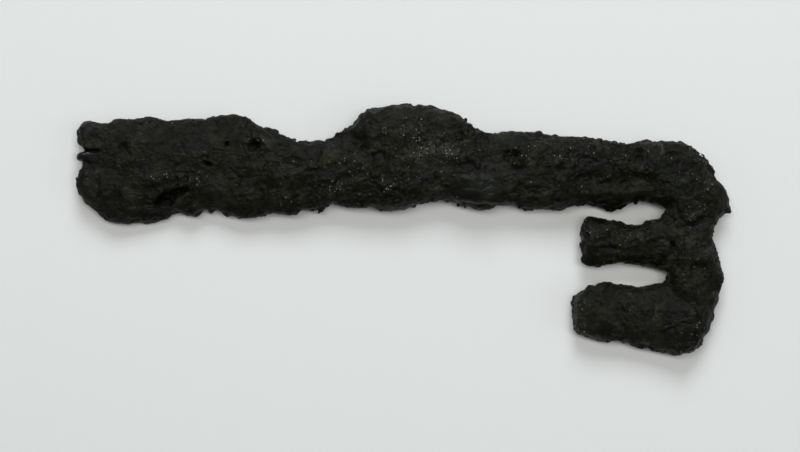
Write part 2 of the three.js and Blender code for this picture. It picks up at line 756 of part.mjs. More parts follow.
addPiece("iron_core", core, soundIron);
addPiece("handle_crust", sleeve(barSkin, beforeNeck), darkCrust);
addPiece("shank_crust", sleeve(barSkin, pastNeck, beforeBit), darkCrust);
addPiece("arm_crust", sleeve(bitSkin, pastBit), darkCrust);
addPiece("inner_tooth_crust", sleeve(innerSkin, beforeBit), darkCrust);
addPiece("outer_tooth_crust", sleeve(outerSkin, beforeBit), darkCrust);
addPiece("shank_hump", limbSolid(hump), darkCrust);
for (const [name, lump] of Object.entries(lumps)) {
  addPiece(name, lumpSolid(lump), smoothScab);
}

const box = new THREE.Box3().setFromObject(group);
const middle = box.getCenter(new THREE.Vector3());
group.position.set(-middle.x, -middle.y, -box.min.z);

export default group;
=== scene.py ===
import itertools
import math

import bpy
import numpy as np
import openvdb as vdb
from mathutils import Euler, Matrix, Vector


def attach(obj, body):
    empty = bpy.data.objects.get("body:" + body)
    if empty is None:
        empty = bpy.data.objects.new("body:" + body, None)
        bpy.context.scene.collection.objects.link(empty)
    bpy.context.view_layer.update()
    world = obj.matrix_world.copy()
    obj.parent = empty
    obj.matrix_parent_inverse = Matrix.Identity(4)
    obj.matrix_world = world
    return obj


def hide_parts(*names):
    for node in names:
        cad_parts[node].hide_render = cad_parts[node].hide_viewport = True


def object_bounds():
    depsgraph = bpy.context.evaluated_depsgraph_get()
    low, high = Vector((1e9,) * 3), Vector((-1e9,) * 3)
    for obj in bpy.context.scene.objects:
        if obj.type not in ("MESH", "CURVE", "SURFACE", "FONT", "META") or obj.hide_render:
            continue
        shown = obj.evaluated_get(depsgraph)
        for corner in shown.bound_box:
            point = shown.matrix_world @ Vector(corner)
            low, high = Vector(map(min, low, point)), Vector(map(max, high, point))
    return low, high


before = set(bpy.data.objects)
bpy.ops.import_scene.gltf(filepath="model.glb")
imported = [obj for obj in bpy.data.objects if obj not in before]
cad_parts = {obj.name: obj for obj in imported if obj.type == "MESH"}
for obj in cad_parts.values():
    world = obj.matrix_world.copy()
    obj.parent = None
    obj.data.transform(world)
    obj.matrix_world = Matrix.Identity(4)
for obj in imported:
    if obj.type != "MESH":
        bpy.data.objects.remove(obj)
cad_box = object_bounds()

# Camera
# It looks straight down on the key as it lies, with the shank running across the picture.
# The picture is 208 mm wide at half the key's thickness.
PICTURE_WIDTH = 0.208
CAMERA_HEIGHT = 0.62
PICTURE_MIDDLE = (-0.0008, 0.0009)
SENSOR = 36.0

half_thick = cad_box[1].z / 2
camera_data = bpy.data.cameras.new("camera")
camera_data.sensor_width = SENSOR
camera_data.lens = SENSOR * CAMERA_HEIGHT / PICTURE_WIDTH
camera = bpy.data.objects.new("camera", camera_data)
camera.location = (*PICTURE_MIDDLE, CAMERA_HEIGHT + half_thick)
bpy.context.scene.collection.objects.link(camera)
bpy.context.scene.camera = camera

# Light
# A soft lamp stands past the key's upper edge, and a long one hangs overhead, in line with the
# slots, so that light reaches down into them without shining on the wax. Two weak ones fill from
# the sides, and a small one only gives the wax its glints. The room is a dim even grey.
COOL_WHITE = (0.91, 0.97, 1.0)
PLAIN_WHITE = (0.93, 0.98, 0.98)
WARM_WHITE = (1.0, 0.96, 0.89)
ROOM_COLOUR = (0.97, 0.99, 1.0, 1)
ROOM_STRENGTH = 0.13


def add_lamp(name, place, long, wide, watts, colour=COOL_WHITE):
    """A flat lamp at a place in metres, turned towards the middle of the key."""
    data = bpy.data.lights.new(name, "AREA")
    data.shape = "RECTANGLE"
    data.size = long
    data.size_y = wide
    data.energy = watts
    data.color = colour
    lamp = bpy.data.objects.new(name, data)
    lamp.location = place
    lamp.rotation_euler = (-Vector(place)).to_track_quat("-Z", "Y").to_euler()
    bpy.context.scene.collection.objects.link(lamp)
    return lamp


add_lamp("upper_edge_lamp", (0.05, 0.7, 0.74), long=0.45, wide=0.45, watts=5.4, colour=PLAIN_WHITE)
add_lamp("left_lamp", (-0.9, 0.1, 0.8), long=0.5, wide=0.5, watts=0.4)
add_lamp("right_lamp", (0.9, -0.2, 0.8), long=0.5, wide=0.5, watts=1.2)
overhead = add_lamp("overhead_lamp", (0.05, 0.16, 1.5), long=1.3, wide=0.3, watts=12.6, colour=WARM_WHITE)
overhead.visible_glossy = False
glint_lamp = add_lamp("glint_lamp", (-0.2, 0.55, 0.75), long=0.06, wide=0.06, watts=4.0)
glint_lamp.visible_diffuse = False

world = bpy.data.worlds.new("room")
world.use_nodes = True
world.node_tree.nodes["Background"].inputs["Color"].default_value = ROOM_COLOUR
world.node_tree.nodes["Background"].inputs["Strength"].default_value = ROOM_STRENGTH
bpy.context.scene.world = world
bpy.context.scene.view_settings.view_transform = "Standard"

# Table top
# A plain board painted matt and pale, a little cool in tone: it shows no grain and hardly shines.
# The key lies on it with nothing between.
BOARD_SIZE = 3.0
BOARD_COLOUR = "dcdfe1"
BOARD_ROUGHNESS = 0.7


def linear(hex_colour):
    """An sRGB hex colour as linear values, with full opacity."""
    channels = [int(hex_colour[i : i + 2], 16) / 255 for i in (0, 2, 4)]
    return [c / 12.92 if c <= 0.04045 else ((c + 0.055) / 1.055) ** 2.4 for c in channels] + [1]


half = BOARD_SIZE / 2
board_mesh = bpy.data.meshes.new("table_top")
board_corners = [(-half, -half, 0), (half, -half, 0), (half, half, 0), (-half, half, 0)]
board_mesh.from_pydata(board_corners, [], [(0, 1, 2, 3)])
board = bpy.data.objects.new("table_top", board_mesh)
bpy.context.scene.collection.objects.link(board)
matt_board = bpy.data.materials.new("matt_board")
matt_board.use_nodes = True
board_shader = matt_board.node_tree.nodes["Principled BSDF"]
board_shader.inputs["Base Color"].default_value = linear(BOARD_COLOUR)
board_shader.inputs["Roughness"].default_value = BOARD_ROUGHNESS
board_mesh.materials.append(matt_board)

# The mass of oxide
# Crust, lumps and scabs grew as one body of iron oxide over the forging. Their common surface is
# worked out first, as distances in millimetres on a fine grid, and each piece is then cut from it.

# The grid's pitch, how far its distances reach, the room left round a piece, half the width of the
# cracks that are filled, and how many times the edges are softened
VOXEL = 0.25
REACH = 2.4
MARGIN = REACH + 2 * VOXEL
CRACK_FILL = 0.7
SOFTENING = 1

# How wide the hollow curve is in which each lump runs out over its sleeve
FILLETS = {
    "shank_hump": 1.6,
    "handle_corner_nodule": 2.4,
    "handle_end_scab": 2.4,
    "handle_ledge_flake": 1.6,
    "neck_blister": 1.6,
    "shank_scab": 2.4,
    "shank_drip": 1.6,
    "edge_nodule": 0.8,
    "bend_spur": 2.4,
    "arm_boss": 2.4,
    "arm_lump": 2.0,
}

low = np.floor((np.array(cad_box[0]) * 1000 - MARGIN) / VOXEL).astype(int)
high = np.ceil((np.array(cad_box[1]) * 1000 + MARGIN) / VOXEL).astype(int)


def distances(points, corner, size, **faces):
    """Distance from a closed mesh at each point of a box of the grid, negative inside it."""
    grid = vdb.FloatGrid.createLevelSetFromPolygons(
        points.astype(np.float32),
        transform=vdb.createLinearTransform(voxelSize=VOXEL),
        halfWidth=REACH / VOXEL,
        **faces,
    )
    field = np.full(tuple(size), REACH, np.float32)
    grid.copyToArray(field, ijk=tuple(int(c) for c in corner))
    return field


def surface(field, corner, step=1):
    """Points and four-sided faces where a field passes through zero, from every so many points."""
    grid = vdb.FloatGrid(background=REACH)
    grid.copyFromArray(np.ascontiguousarray(field[::step, ::step, ::step]))
    points, quads = grid.convertToQuads(0.0)
    return (np.asarray(points, float) * step + corner) * VOXEL, np.asarray(quads)


def node_distances(name):
    """A piece's own stretch of the grid, as its corner and the distances from its solid."""
    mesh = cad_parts[name].data
    points = np.empty(len(mesh.vertices) * 3, np.float32)
    mesh.vertices.foreach_get("co", points)
    points = points.reshape(-1, 3) * 1000
    mesh.calc_loop_triangles()
    triangles = np.empty(len(mesh.loop_triangles) * 3, np.int32)
    mesh.loop_triangles.foreach_get("vertices", triangles)
    corner = np.maximum(np.floor((points.min(0) - MARGIN) / VOXEL).astype(int), low)
    end = np.minimum(np.ceil((points.max(0) + MARGIN) / VOXEL).astype(int), high)
    faces = triangles.reshape(-1, 3).astype(np.uint32)
    return corner, distances(points, corner, end - corner, triangles=faces)


def stretch_of(whole, corner, size):
    return whole[tuple(slice(s, s + n) for s, n in zip(corner - low, size))]


def soften(field, times):
    """Rounds a field off by averaging neighbours along each axis."""
    for _ in range(times):
        for axis in range(3):
            field = (np.roll(field, 1, axis) + 2 * field + np.roll(field, -1, axis)) / 4
    return field


names = sorted(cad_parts)
fields = {name: node_distances(name) for name in names}
nearest = np.full(tuple(high - low), REACH, np.float32)
second = nearest.copy()
owner = np.full(nearest.shape, -1, np.int8)
for index, name in enumerate(names):
    corner, field = fields[name]
    near = stretch_of(nearest, corner, field.shape)
    next_near = stretch_of(second, corner, field.shape)
    closer = field < near
    next_near[...] = np.where(closer, near, np.minimum(next_near, field))
    near[...] = np.where(closer, field, near)
    stretch_of(owner, corner, field.shape)[closer] = index


def other_distances(name):
    """Distances from the nearest other piece, over a piece's own stretch."""
    corner, field = fields[name]
    mine = stretch_of(owner, corner, field.shape) == names.index(name)
    return np.where(mine, stretch_of(second, corner, field.shape), stretch_of(nearest, corner, field.shape))


mass = nearest.copy()
for name, width in FILLETS.items():
    corner, field = fields[name]
    curve = np.maximum(width - np.abs(field - other_distances(name)), 0) ** 2 / (4 * width)
    stretch_of(mass, corner, field.shape)[...] -= curve

filled_points, filled_faces = surface(mass - CRACK_FILL, low)
skin = distances(filled_points, low, nearest.shape, quads=filled_faces.astype(np.uint32)) + CRACK_FILL
skin = soften(skin, SOFTENING)


def smooth_step(share):
    share = np.clip(share, 0, 1)
    return share * share * (3 - 2 * share)


def box_round(middle, spread, corner, shape):
    """The part of a field within a spread of a middle, and where its grid points are along each
    axis. A middle in plan gives a part that goes right through from face to face."""
    axes = len(middle)
    first = np.floor((np.array(middle) - spread) / VOXEL).astype(int) - corner[:axes]
    last = np.ceil((np.array(middle) + spread) / VOXEL).astype(int) - corner[:axes]
    first = np.clip(first, 0, shape[:axes])
    last = np.clip(last, 0, shape[:axes])
    places = [(np.arange(f, l) + c) * VOXEL for f, l, c in zip(first, last, corner)]
    return tuple(map(slice, first, last)), np.meshgrid(*places, indexing="ij", sparse=True)


def away_from(middle, places):
    return np.sqrt(sum((at - m) ** 2 for at, m in zip(places, middle)))


# The marks are on the upper face, and fade out down the flanks between these heights
FACE_FADE = (3.2, 6.0)


def on_face(z):
    return np.clip((z - FACE_FADE[0]) / (FACE_FADE[1] - FACE_FADE[0]), 0, 1)


# The valley along the hump's foot and the hollow before the bit have soft slopes: each is given
# as its middle and half sizes in plan. Their softness fades out towards the rim.
WORN = ((5.0, 19.0, 18.0, 6.0), (58.0, 15.6, 17.0, 5.4))
WORN_BORDER = 2.0
WORN_FADE = 1.6
WEAR = 60

heights = (np.arange(skin.shape[2]) + low[2]) * VOXEL
for x, y, long, wide in WORN:
    part, (at_x, at_y) = box_round((x, y), np.array((long, wide)) + WORN_BORDER, low, skin.shape)
    share = smooth_step(WORN_FADE * (1 - np.hypot((at_x - x) / long, (at_y - y) / wide)))
    share = share[:, :, None] * on_face(heights)
    skin[part] += share * (soften(skin[part], WEAR) - skin[part])

# Grown surface of the oxide
# It swells, is studded with nodules from 1 to 3 mm, pitted where they fell out, and grainy. All
# of it comes from a repeatable table of random values, so each place always looks the same.
TABLE_SIDE = 64
TABLE = np.random.default_rng(5).random(TABLE_SIDE**3, np.float32)
DRAW_STEPS = (17, 29, 41)
CORNERS = np.array(list(itertools.product((0, 1), repeat=3)), np.int32)


def random_at(cell, draw):
    """The table's value at each cell. The table's side is a power of two, so that & wraps round."""
    i, j, k = ((at + step * draw) & (TABLE_SIDE - 1) for at, step in zip(cell, DRAW_STEPS))
    return TABLE[(i * TABLE_SIDE + j) * TABLE_SIDE + k]


# The random values lie on a grid that is turned against the key, so that none of it shows
TURN = np.array(Euler((0.5, 0.7, 0.6)).to_matrix(), np.float32)


def noise(place, height, pitch, draw, grain=None):
    """Smooth swellings up to a height, a pitch apart in millimetres, drawn out along the grain."""
    q = place @ TURN / pitch if grain is None else place / (pitch * np.array(grain, np.float32))
    cell = np.floor(q).astype(np.int32)
    t = smooth_step(q - cell)
    total = np.zeros(len(place), np.float32)
    for corner in CORNERS:
        share = np.ones(len(place), np.float32)
        for axis, side in enumerate(corner):
            share *= t[:, axis] if side else 1 - t[:, axis]
        total += share * random_at((cell + corner).T, draw)
    return height * (total * 2 - 1)


# Middles are scattered one to a cell, in its inner part. None outside the cells that are looked
# through is nearer than the farthest distance, in pitches.
CELL_BORDER = 0.25
FARTHEST = 0.75


def cells(place, pitch, draw):
    """Distance to the nearest of some scattered middles a pitch apart, and that middle's chance."""
    q = place @ TURN / pitch
    first = np.floor(q - 0.5).astype(np.int32)
    gap = np.full(len(place), FARTHEST**2, np.float32)
    chance = np.zeros(len(place), np.float32)
    for corner in CORNERS:
        cell = (first + corner).T
        apart = np.zeros(len(place), np.float32)
        for axis in range(3):
            play = (1 - 2 * CELL_BORDER) * random_at(cell, draw + 1 + axis)
            apart += (q[:, axis] - cell[axis] - CELL_BORDER - play) ** 2
        nearer = apart < gap
        gap[nearer] = apart[nearer]
        chance[nearer] = random_at(cell, draw)[nearer]
    return np.sqrt(gap), chance


# The least radius of a stud and how much larger the largest is, in pitches, and the least height
STUD_RADIUS = 0.3
STUD_GROWTH = 0.2
STUD_HEIGHT = 0.4


def studs(gap, chance, share):
    """Round bumps up to 1 high on a share of the middles."""
    size = np.clip(chance / share, 0, 1)
    dome = np.sqrt(np.maximum(1 - (gap / (STUD_RADIUS + STUD_GROWTH * size)) ** 2, 0))
    return np.where(chance < share, (STUD_HEIGHT + (1 - STUD_HEIGHT) * size) * dome, 0)


# Profiles of marks and crowds, from 1 in the middle, or on the ring, to 0 at their rim
SWELL_POWER = 2.6
PLATE_RIM = 1.1
PLATE_SLOPE = 0.35
RING_RADIUS = 0.8
RING_WIDTH = 0.2
FORMS = {
    "swell": lambda r: np.exp(-(r**SWELL_POWER)),
    "plate": lambda r: np.clip((PLATE_RIM - r) / PLATE_SLOPE, 0, 1),
    "ball": lambda r: np.sqrt(np.maximum(1 - r**2, 0)),
    "ring": lambda r: np.exp(-(((r - RING_RADIUS) / RING_WIDTH) ** 2)),
}

# The long grain of the forging shows through along the handle up to the neck, between these
# places, and again, more weakly, from the arm to the ends of the teeth.
NECK_SPAN = (-42.0, -26.0)
TEETH_SPAN = (2.0, -4.0)
TEETH_START = 40.0
TEETH_FIBRE = 0.6


def fibrous(place):
    past_neck = np.clip((place[:, 0] - NECK_SPAN[0]) / (NECK_SPAN[1] - NECK_SPAN[0]), 0, 1)
    in_teeth = np.clip((place[:, 1] - TEETH_SPAN[0]) / (TEETH_SPAN[1] - TEETH_SPAN[0]), 0, 1)
    return np.maximum(1 - past_neck, TEETH_FIBRE * in_teeth * (place[:, 0] > TEETH_START))


# Nodules crowd in these places, each a middle and half sizes in plan: along the shank's upper
# side, at the neck's lower side, round the hump's foot, on the bend and on the arm.
CROWDED = (
    (44.0, 20.4, 18.0, 3.4),
    (-20.0, 9.0, 8.0, 4.6),
    (-24.0, 20.6, 9.0, 2.8),
    (-4.0, 14.0, 8.0, 4.0),
    (20.0, 19.0, 8.0, 3.4),
    (76.0, 16.0, 6.0, 6.0),
    (77.0, -2.0, 4.6, 9.0),
    (16.0, 26.6, 4.0, 4.0),
)


def crowded(place):
    share = np.zeros(len(place), np.float32)
    for x, y, long, wide in CROWDED:
        away = np.hypot((place[:, 0] - x) / long, (place[:, 1] - y) / wide)
        share = np.maximum(share, FORMS["swell"](away))
    return share


# Swellings of the surface: height, pitch and draw. The middles of nodules wander in the same way.
BROAD_SWELLS = (0.4, 6.0, 1)
SWELLS = (0.3, 2.8, 2)
FIBRES = (0.06, 0.6, 6)
FIBRE_STRETCH = (8, 1, 1)
WANDER = (0.6, 3.1, 90)
MEAN_HEIGHT = 0.22

# Nodules of three sizes, by pitch and draw. Then what they give: heights, and the shares of them
# that stand out, have fallen out, or stand out where they crowd. The cells between are dished or
# domed by themselves, to either side of a level squared distance.
NODULES = {"big": (3.4, 10), "middle": (1.9, 20), "small": (1.1, 30)}
STANDING = {"big": (0.5, 0.2), "middle": (0.34, 0.26), "small": (0.24, 0.3)}
FALLEN = {"big": (0.45, 0.1), "middle": (0.3, 0.14)}
CROWDING = {"middle": (0.4, 0.5), "small": (0.36, 0.6)}
CROWD_SINK = 0.16
DISHES = {"big": 0.6, "middle": -0.3}
LEVEL_GAP = 0.2

# How much a fibrous place or a closed skin takes away
FIBRE_CALM = 0.4
FIBRE_DISH_CALM = 0.5
SKIN_CALM = 0.7
SKIN_GRIT_CALM = 0.75


def relief(place, closed):
    """How far the oxide stands proud at places, less where its skin is closed, in millimetres."""
    fibre = fibrous(place)
    far, pitch, draw = WANDER
    bent = place + np.stack([noise(place, far, pitch, draw + axis) for axis in range(3)], 1)
    grown = {size: cells(bent, *NODULES[size]) for size in ("big", "middle")}
    grown["small"] = cells(place, *NODULES["small"])
    height = noise(bent, *SWELLS) + fibre * noise(bent, *FIBRES, grain=FIBRE_STRETCH)
    for size, (rise, share) in STANDING.items():
        height += (1 - FIBRE_CALM * fibre) * rise * studs(*grown[size], share)
    for size, rise in DISHES.items():
        height += (1 - FIBRE_DISH_CALM * fibre) * rise * (grown[size][0] ** 2 - LEVEL_GAP)
    for size, (depth, share) in FALLEN.items():
        gap, chance = grown[size]
        height -= depth * studs(gap, 1 - chance, share)
    crowd = sum(rise * studs(*grown[size], share) for size, (rise, share) in CROWDING.items())
    height += crowded(place) * (crowd - CROWD_SINK)
    return noise(bent, *BROAD_SWELLS) + (1 - SKIN_CALM * closed) * height - MEAN_HEIGHT


# Crumbs of grit: their height, pitch and draw as soft swellings and as dished cells
SOFT_CRUMBS = (0.15, 0.62, 5)
CRUMB_DISH = 0.36
CRUMBS = (0.8, 60)


def grit(place, closed):
    """Crumbs of half a millimetre on top of that."""
    crumbs = noise(place, *SOFT_CRUMBS) - CRUMB_DISH * (cells(place, *CRUMBS)[0] ** 2 - LEVEL_GAP)
    return (1 - SKIN_GRIT_CALM * closed) * crumbs


# The outlines of marks stray from true ovals: how far, the pitch and the draw
STRAYS = ((0.55, 2.3, 70), (0.3, 1.1, 80))


def drift(x, y):
    """How far the outlines of the marks stray at places in plan, in millimetres."""
    place = np.stack(np.broadcast_arrays(x, y, 0), -1).astype(np.float32)
    flat = place.reshape(-1, 3)
    strays = [sum(noise(flat, far, pitch, draw + axis) for far, pitch, draw in STRAYS) for axis in (0, 1)]
    return [stray.reshape(place.shape[:-1]) for stray in strays]


def mark_share(dx, dy, long, wide, turn, form):
    """How much of a mark is left at an offset from its middle, for its half length and width."""
    angle = math.radians(turn)
    u = (dx * math.cos(angle) + dy * math.sin(angle)) / long
    v = (dy * math.cos(angle) - dx * math.sin(angle)) / wide
    return FORMS[form](np.hypot(u, v))


MARK_SPREAD = 1.7


def press(field, corner, marks):
    """Raises or hollows the upper face of a field at the marks."""
    faces = on_face((np.arange(field.shape[2]) + corner[2]) * VOXEL)
    for x, y, long, wide, turn, rise, form in marks.values():
        part, (at_x, at_y) = box_round((x, y), MARK_SPREAD * max(long, wide), corner, field.shape)
        stray_x, stray_y = drift(at_x, at_y)
        height = rise * mark_share(at_x + stray_x - x, at_y + stray_y - y, long, wide, turn, form)
        field[part] -= height[:, :, None] * faces


BEAD_BLEND = 1.0


def bead(field, corner, beads):
    """Adds round nodules, each a middle and a radius in millimetres, or hollows if it is negative."""
    for *middle, radius in beads:
        part, places = box_round(middle, abs(radius) + REACH / 2, corner, field.shape)
        gap = away_from(middle, places) - abs(radius)
        side = 1 if radius > 0 else -1
        blend = np.maximum(BEAD_BLEND - np.abs(side * field[part] - gap), 0)
        field[part] = side * (np.minimum(side * field[part], gap) - blend**2 / (4 * BEAD_BLEND))


# Cutting the pieces
# Two pieces meet at a crack. Each runs on a little under the other there, sinking as it goes. The
# sleeves and lumps are also cut away round the iron core, with a little room.
TUCK = 0.7
TUCK_SINK = 0.25
CORE_CLEARANCE = 0.2

# Relief goes on within a band of the skin. It has its least share underneath, which grows by one
# over the climb until it is whole, and it is stronger on the flanks than on the faces. Grit grows
# from nothing over a climb of its own.
RELIEF_BAND = 1.3
RELIEF_LEAST = 0.3
RELIEF_CLIMB = 2.0
RELIEF_ON_FACE = 0.85
RELIEF_MORE_ON_FLANK = 0.5
GRIT_CLIMB = 1.5

# Blisters, scabs and drips have a closed skin, which runs out into the crust round them between
# these distances. So have some spots elsewhere, each given as its middle and radius.
SMOOTH = ("handle_corner_nodule", "handle_end_scab", "neck_blister", "shank_scab", "shank_drip", "bend_spur")
SKIN_SHARE = {"neck_blister": 0.4, "handle_corner_nodule": 0.6, "handle_end_scab": 0.8}
SKIN_EDGE = (0.1, 1.3)
SPOT_SHARE = 0.8
SPOT_EDGE = 1.6
SKIN_SPOTS = (
    (48.6, -0.8, 8.5, 2.6),
    (46.8, -18.4, 8.0, 2.4),
    (47.2, -23.4, 8.0, 1.6),
    (55.4, -26.4, 8.0, 2.2),
    (72.9, 11.7, 10.0, 2.2),
    (75.4, 3.8, 9.5, 2.6),
    (67.2, -3.6, 9.5, 1.8),
    (74.1, -30.4, 7.0, 1.8),
    (77.2, -21.0, 8.0, 1.8),
    (-4.2, 10.6, 10.5, 2.4),
    (0.6, 6.9, 8.0, 2.6),
    (-66.1, 5.8, 7.0, 2.0),
    (66.8, 20.9, 8.0, 1.6),
)

closed_skin = np.zeros(nearest.shape, np.float32)
for name in SMOOTH:
    corner, field = fields[name]
    share = SKIN_SHARE.get(name, 1.0) * smooth_step((SKIN_EDGE[1] - field) / (SKIN_EDGE[1] - SKIN_EDGE[0]))
    here = stretch_of(closed_skin, corner, field.shape)
    np.maximum(here, share, out=here)
for *middle, radius in SKIN_SPOTS:
    part, places = box_round(middle, radius, low, closed_skin.shape)
    share = SPOT_SHARE * smooth_step((radius - away_from(middle, places)) / SPOT_EDGE)
    closed_skin[part] = np.maximum(closed_skin[part], share)

core_corner, core_field = fields["iron_core"]
core_everywhere = np.full(nearest.shape, REACH, np.float32)
stretch_of(core_everywhere, core_corner, core_field.shape)[...] = core_field


def largest_body(points, quads):
    """The body with the most faces, without loose crumbs."""
    label = np.arange(len(points))
    while True:
        merged = label.copy()
        np.minimum.at(merged, quads.ravel(), np.repeat(label[quads].min(1), 4))
        merged = merged[merged]
        if (merged == label).all():
            break
        label = merged
    body = label[quads[:, 0]]
    ids, counts = np.unique(body, return_counts=True)
    used, quads = np.unique(quads[body == ids[counts.argmax()]], return_inverse=True)
    return points[used], quads.reshape(-1, 4)


def sample(field, corner, points):
    """Values of a field at points in millimetres, between its grid points."""
    just_inside = np.array(field.shape) - 1.001
    q = np.clip(points / VOXEL - corner, 0, just_inside)
    cell = q.astype(int)
    t = q - cell
    total = np.zeros(len(points))
    for a, b, c in CORNERS:
        share = np.abs(1 - a - t[:, 0]) * np.abs(1 - b - t[:, 1]) * np.abs(1 - c - t[:, 2])
        total += share * field[cell[:, 0] + a, cell[:, 1] + b, cell[:, 2] + c]
    return total


def outward(points, quads):
    """Directions square to a surface at its points."""
    square = np.cross(points[quads[:, 2]] - points[quads[:, 0]], points[quads[:, 3]] - points[quads[:, 1]])
    normals = np.zeros_like(points)
    for side in range(4):
        np.add.at(normals, quads[:, side], square)
    return normals / np.maximum(np.linalg.norm(normals, axis=1, keepdims=True), 1e-9)


def add_piece(name, field, corner, patches, material, gritty=1.0, step=1):
    """A field's surface as a smooth closed mesh, painted with patches, in place of its node."""
    points, quads = largest_body(*surface(field.astype(np.float32), corner, step))
    closed = sample(closed_skin, low, points)
    near_skin = np.clip(1 - np.abs(sample(skin, low, points)), 0, 1)
    lift = gritty * near_skin * np.clip(points[:, 2] / GRIT_CLIMB, 0, 1)
    lift *= grit(points.astype(np.float32), closed)
    points = points + outward(points, quads) * lift[:, None]
    mesh = bpy.data.meshes.new(name)
    mesh.vertices.add(len(points))
    mesh.vertices.foreach_set("co", (points / 1000).astype(np.float32).ravel())
    mesh.loops.add(quads.size)
    mesh.loops.foreach_set("vertex_index", quads.astype(np.int32).ravel())
    mesh.polygons.add(len(quads))
    mesh.polygons.foreach_set("loop_start", np.arange(0, quads.size, 4, dtype=np.int32))
    mesh.polygons.foreach_set("use_smooth", np.ones(len(quads), bool))
    mesh.update(calc_edges=True)
    mesh.validate()
    paint = {"proud": sample(skin, low, points), "closed": closed, "fibre": fibrous(points)}
    paint |= {"polish": 0, "frost": 0, "rust": 0, "sparkle": 0}
    stray_x, stray_y = drift(points[:, 0], points[:, 1])
    for x, y, long, wide, turn, tone, strength in patches:
        dx, dy = points[:, 0] + stray_x - x, points[:, 1] + stray_y - y
        share = mark_share(dx, dy, long, wide, turn, "swell")
        paint[tone] = np.maximum(paint[tone], strength * share * on_face(points[:, 2]))
    for tone, values in paint.items():
        values = np.broadcast_to(values, len(points)).astype(np.float32)
        mesh.attributes.new(tone, "FLOAT", "POINT").data.foreach_set("value", values)
    mesh.materials.append(material)
    piece = bpy.data.objects.new(name, mesh)
    bpy.context.scene.collection.objects.link(piece)
    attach(piece, "root")
    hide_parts(name)


def crust_field(name, marks, beads):
    """The share of the skin that belongs to one piece, with its relief, hollow over the core."""
    corner, own = fields[name]
    size = own.shape
    body = stretch_of(skin, corner, size).copy()
    bead(body, corner, beads)
    press(body, corner, marks)
    band = np.abs(body) < RELIEF_BAND
    place = ((np.argwhere(band) + corner) * VOXEL).astype(np.float32)
    steep = 1 - np.abs(np.gradient(body, VOXEL, axis=2)[band])
    share = np.clip(RELIEF_LEAST + place[:, 2] / RELIEF_CLIMB, RELIEF_LEAST, 1)
    share *= RELIEF_ON_FACE + RELIEF_MORE_ON_FLANK * np.clip(steep, 0, 1)
    body[band] -= relief(place, stretch_of(closed_skin, corner, size)[band]) * share
    past = (own - other_distances(name)) / 2
    body = np.maximum(body + TUCK_SINK * np.maximum(past, 0), past - TUCK)
    body = np.maximum(body, CORE_CLEARANCE - stretch_of(core_everywhere, corner, size))
    heights = ((np.arange(size[2]) + corner[2]) * VOXEL).astype(np.float32)
    return np.maximum(body, -heights)


# Iron core
# The one forging that is left inside: handle strip, shank, arm and two teeth. Only its broken
# tongue shows, in the notch at the handle's end, worn smooth and dark under the wax.
TONGUE_TIP = ((-84.3, 18.7, 4.6, 0.9),)
IRON_DARK = "0c0d0b"
IRON_PALE = "161713"
IRON_SPECULAR = 0.2

# Clouds of noise in a material: the largest's size in millimetres, the detail and the draw
IRON_CLOUDS = {"tone": (1.4, 5, 0), "dullness": (0.9, 4, 3), "dents": (0.8, 3, 5)}
CLOUD_ROUGHNESS = 0.6

# A mix of colours takes its sockets by number: the share, the colour under and the colour over
# it, and the colour that comes out.
MIX_SHARE = 0
MIX_UNDER = 6
MIX_OVER = 7
MIX_RESULT = 2


def fit_node(tree, node, fittings):
    """Sets a node's properties and sockets, and links each socket that is given another's output."""
    for key, value in fittings.items():
        if isinstance(value, bpy.types.NodeSocket):
            tree.links.new(value, node.inputs[key])
        elif isinstance(key, int) or key in node.inputs:
            node.inputs[key].default_value = value
        else:
            setattr(node, key, value)


def add_node(tree, kind, fittings):
    node = tree.nodes.new(kind)
    fit_node(tree, node, fittings)
    return node


def cloud_fittings(at, size, detail, draw):
    clouds = {"noise_dimensions": "4D", "W": draw, "Scale": 1000 / size, "Detail": detail}
    return clouds | {"Roughness": CLOUD_ROUGHNESS, "Vector": at}


def new_material(name, clouds):
    """A material with its node tree, its shader, the places on the piece, and its clouds."""
    material = bpy.data.materials.new(name)
    material.use_nodes = True
    tree = material.node_tree
    at = add_node(tree, "ShaderNodeTexCoord", {}).outputs["Object"]
    cloud = {}
    for kind, numbers in clouds.items():
        cloud[kind] = add_node(tree, "ShaderNodeTexNoise", cloud_fittings(at, *numbers)).outputs["Fac"]
    return material, tree, tree.nodes["Principled BSDF"], at, cloud


def waxed_iron():
    """Old forged iron, scale gone, rubbed with wax: smooth, dark grey, with soft shine."""
    material, tree, shader, at, cloud = new_material("waxed_iron", IRON_CLOUDS)
    tone = add_node(tree, "ShaderNodeMapRange", {"From Min": 0.35, "From Max": 0.65, "Value": cloud["tone"]})
    greys = {"data_type": "RGBA", MIX_UNDER: linear(IRON_DARK), MIX_OVER: linear(IRON_PALE)}
    colour = add_node(tree, "ShaderNodeMix", greys | {MIX_SHARE: tone.outputs["Result"]})
    dullness = {"From Min": 0.3, "From Max": 0.7, "To Min": 0.2, "To Max": 0.5, "Value": cloud["dullness"]}
    dull = add_node(tree, "ShaderNodeMapRange", dullness)
    dents = add_node(tree, "ShaderNodeBump", {"Strength": 0.4, "Distance": 0.0001, "Height": cloud["dents"]})
    finish = {"Base Color": colour.outputs[MIX_RESULT], "Roughness": dull.outputs["Result"]}
    finish |= {"Specular IOR Level": IRON_SPECULAR, "Normal": dents.outputs["Normal"]}
    fit_node(tree, shader, finish)
    return material


bead(core_field, core_corner, TONGUE_TIP)
add_piece("iron_core", soften(core_field, 1), core_corner, (), waxed_iron(), gritty=0, step=2)

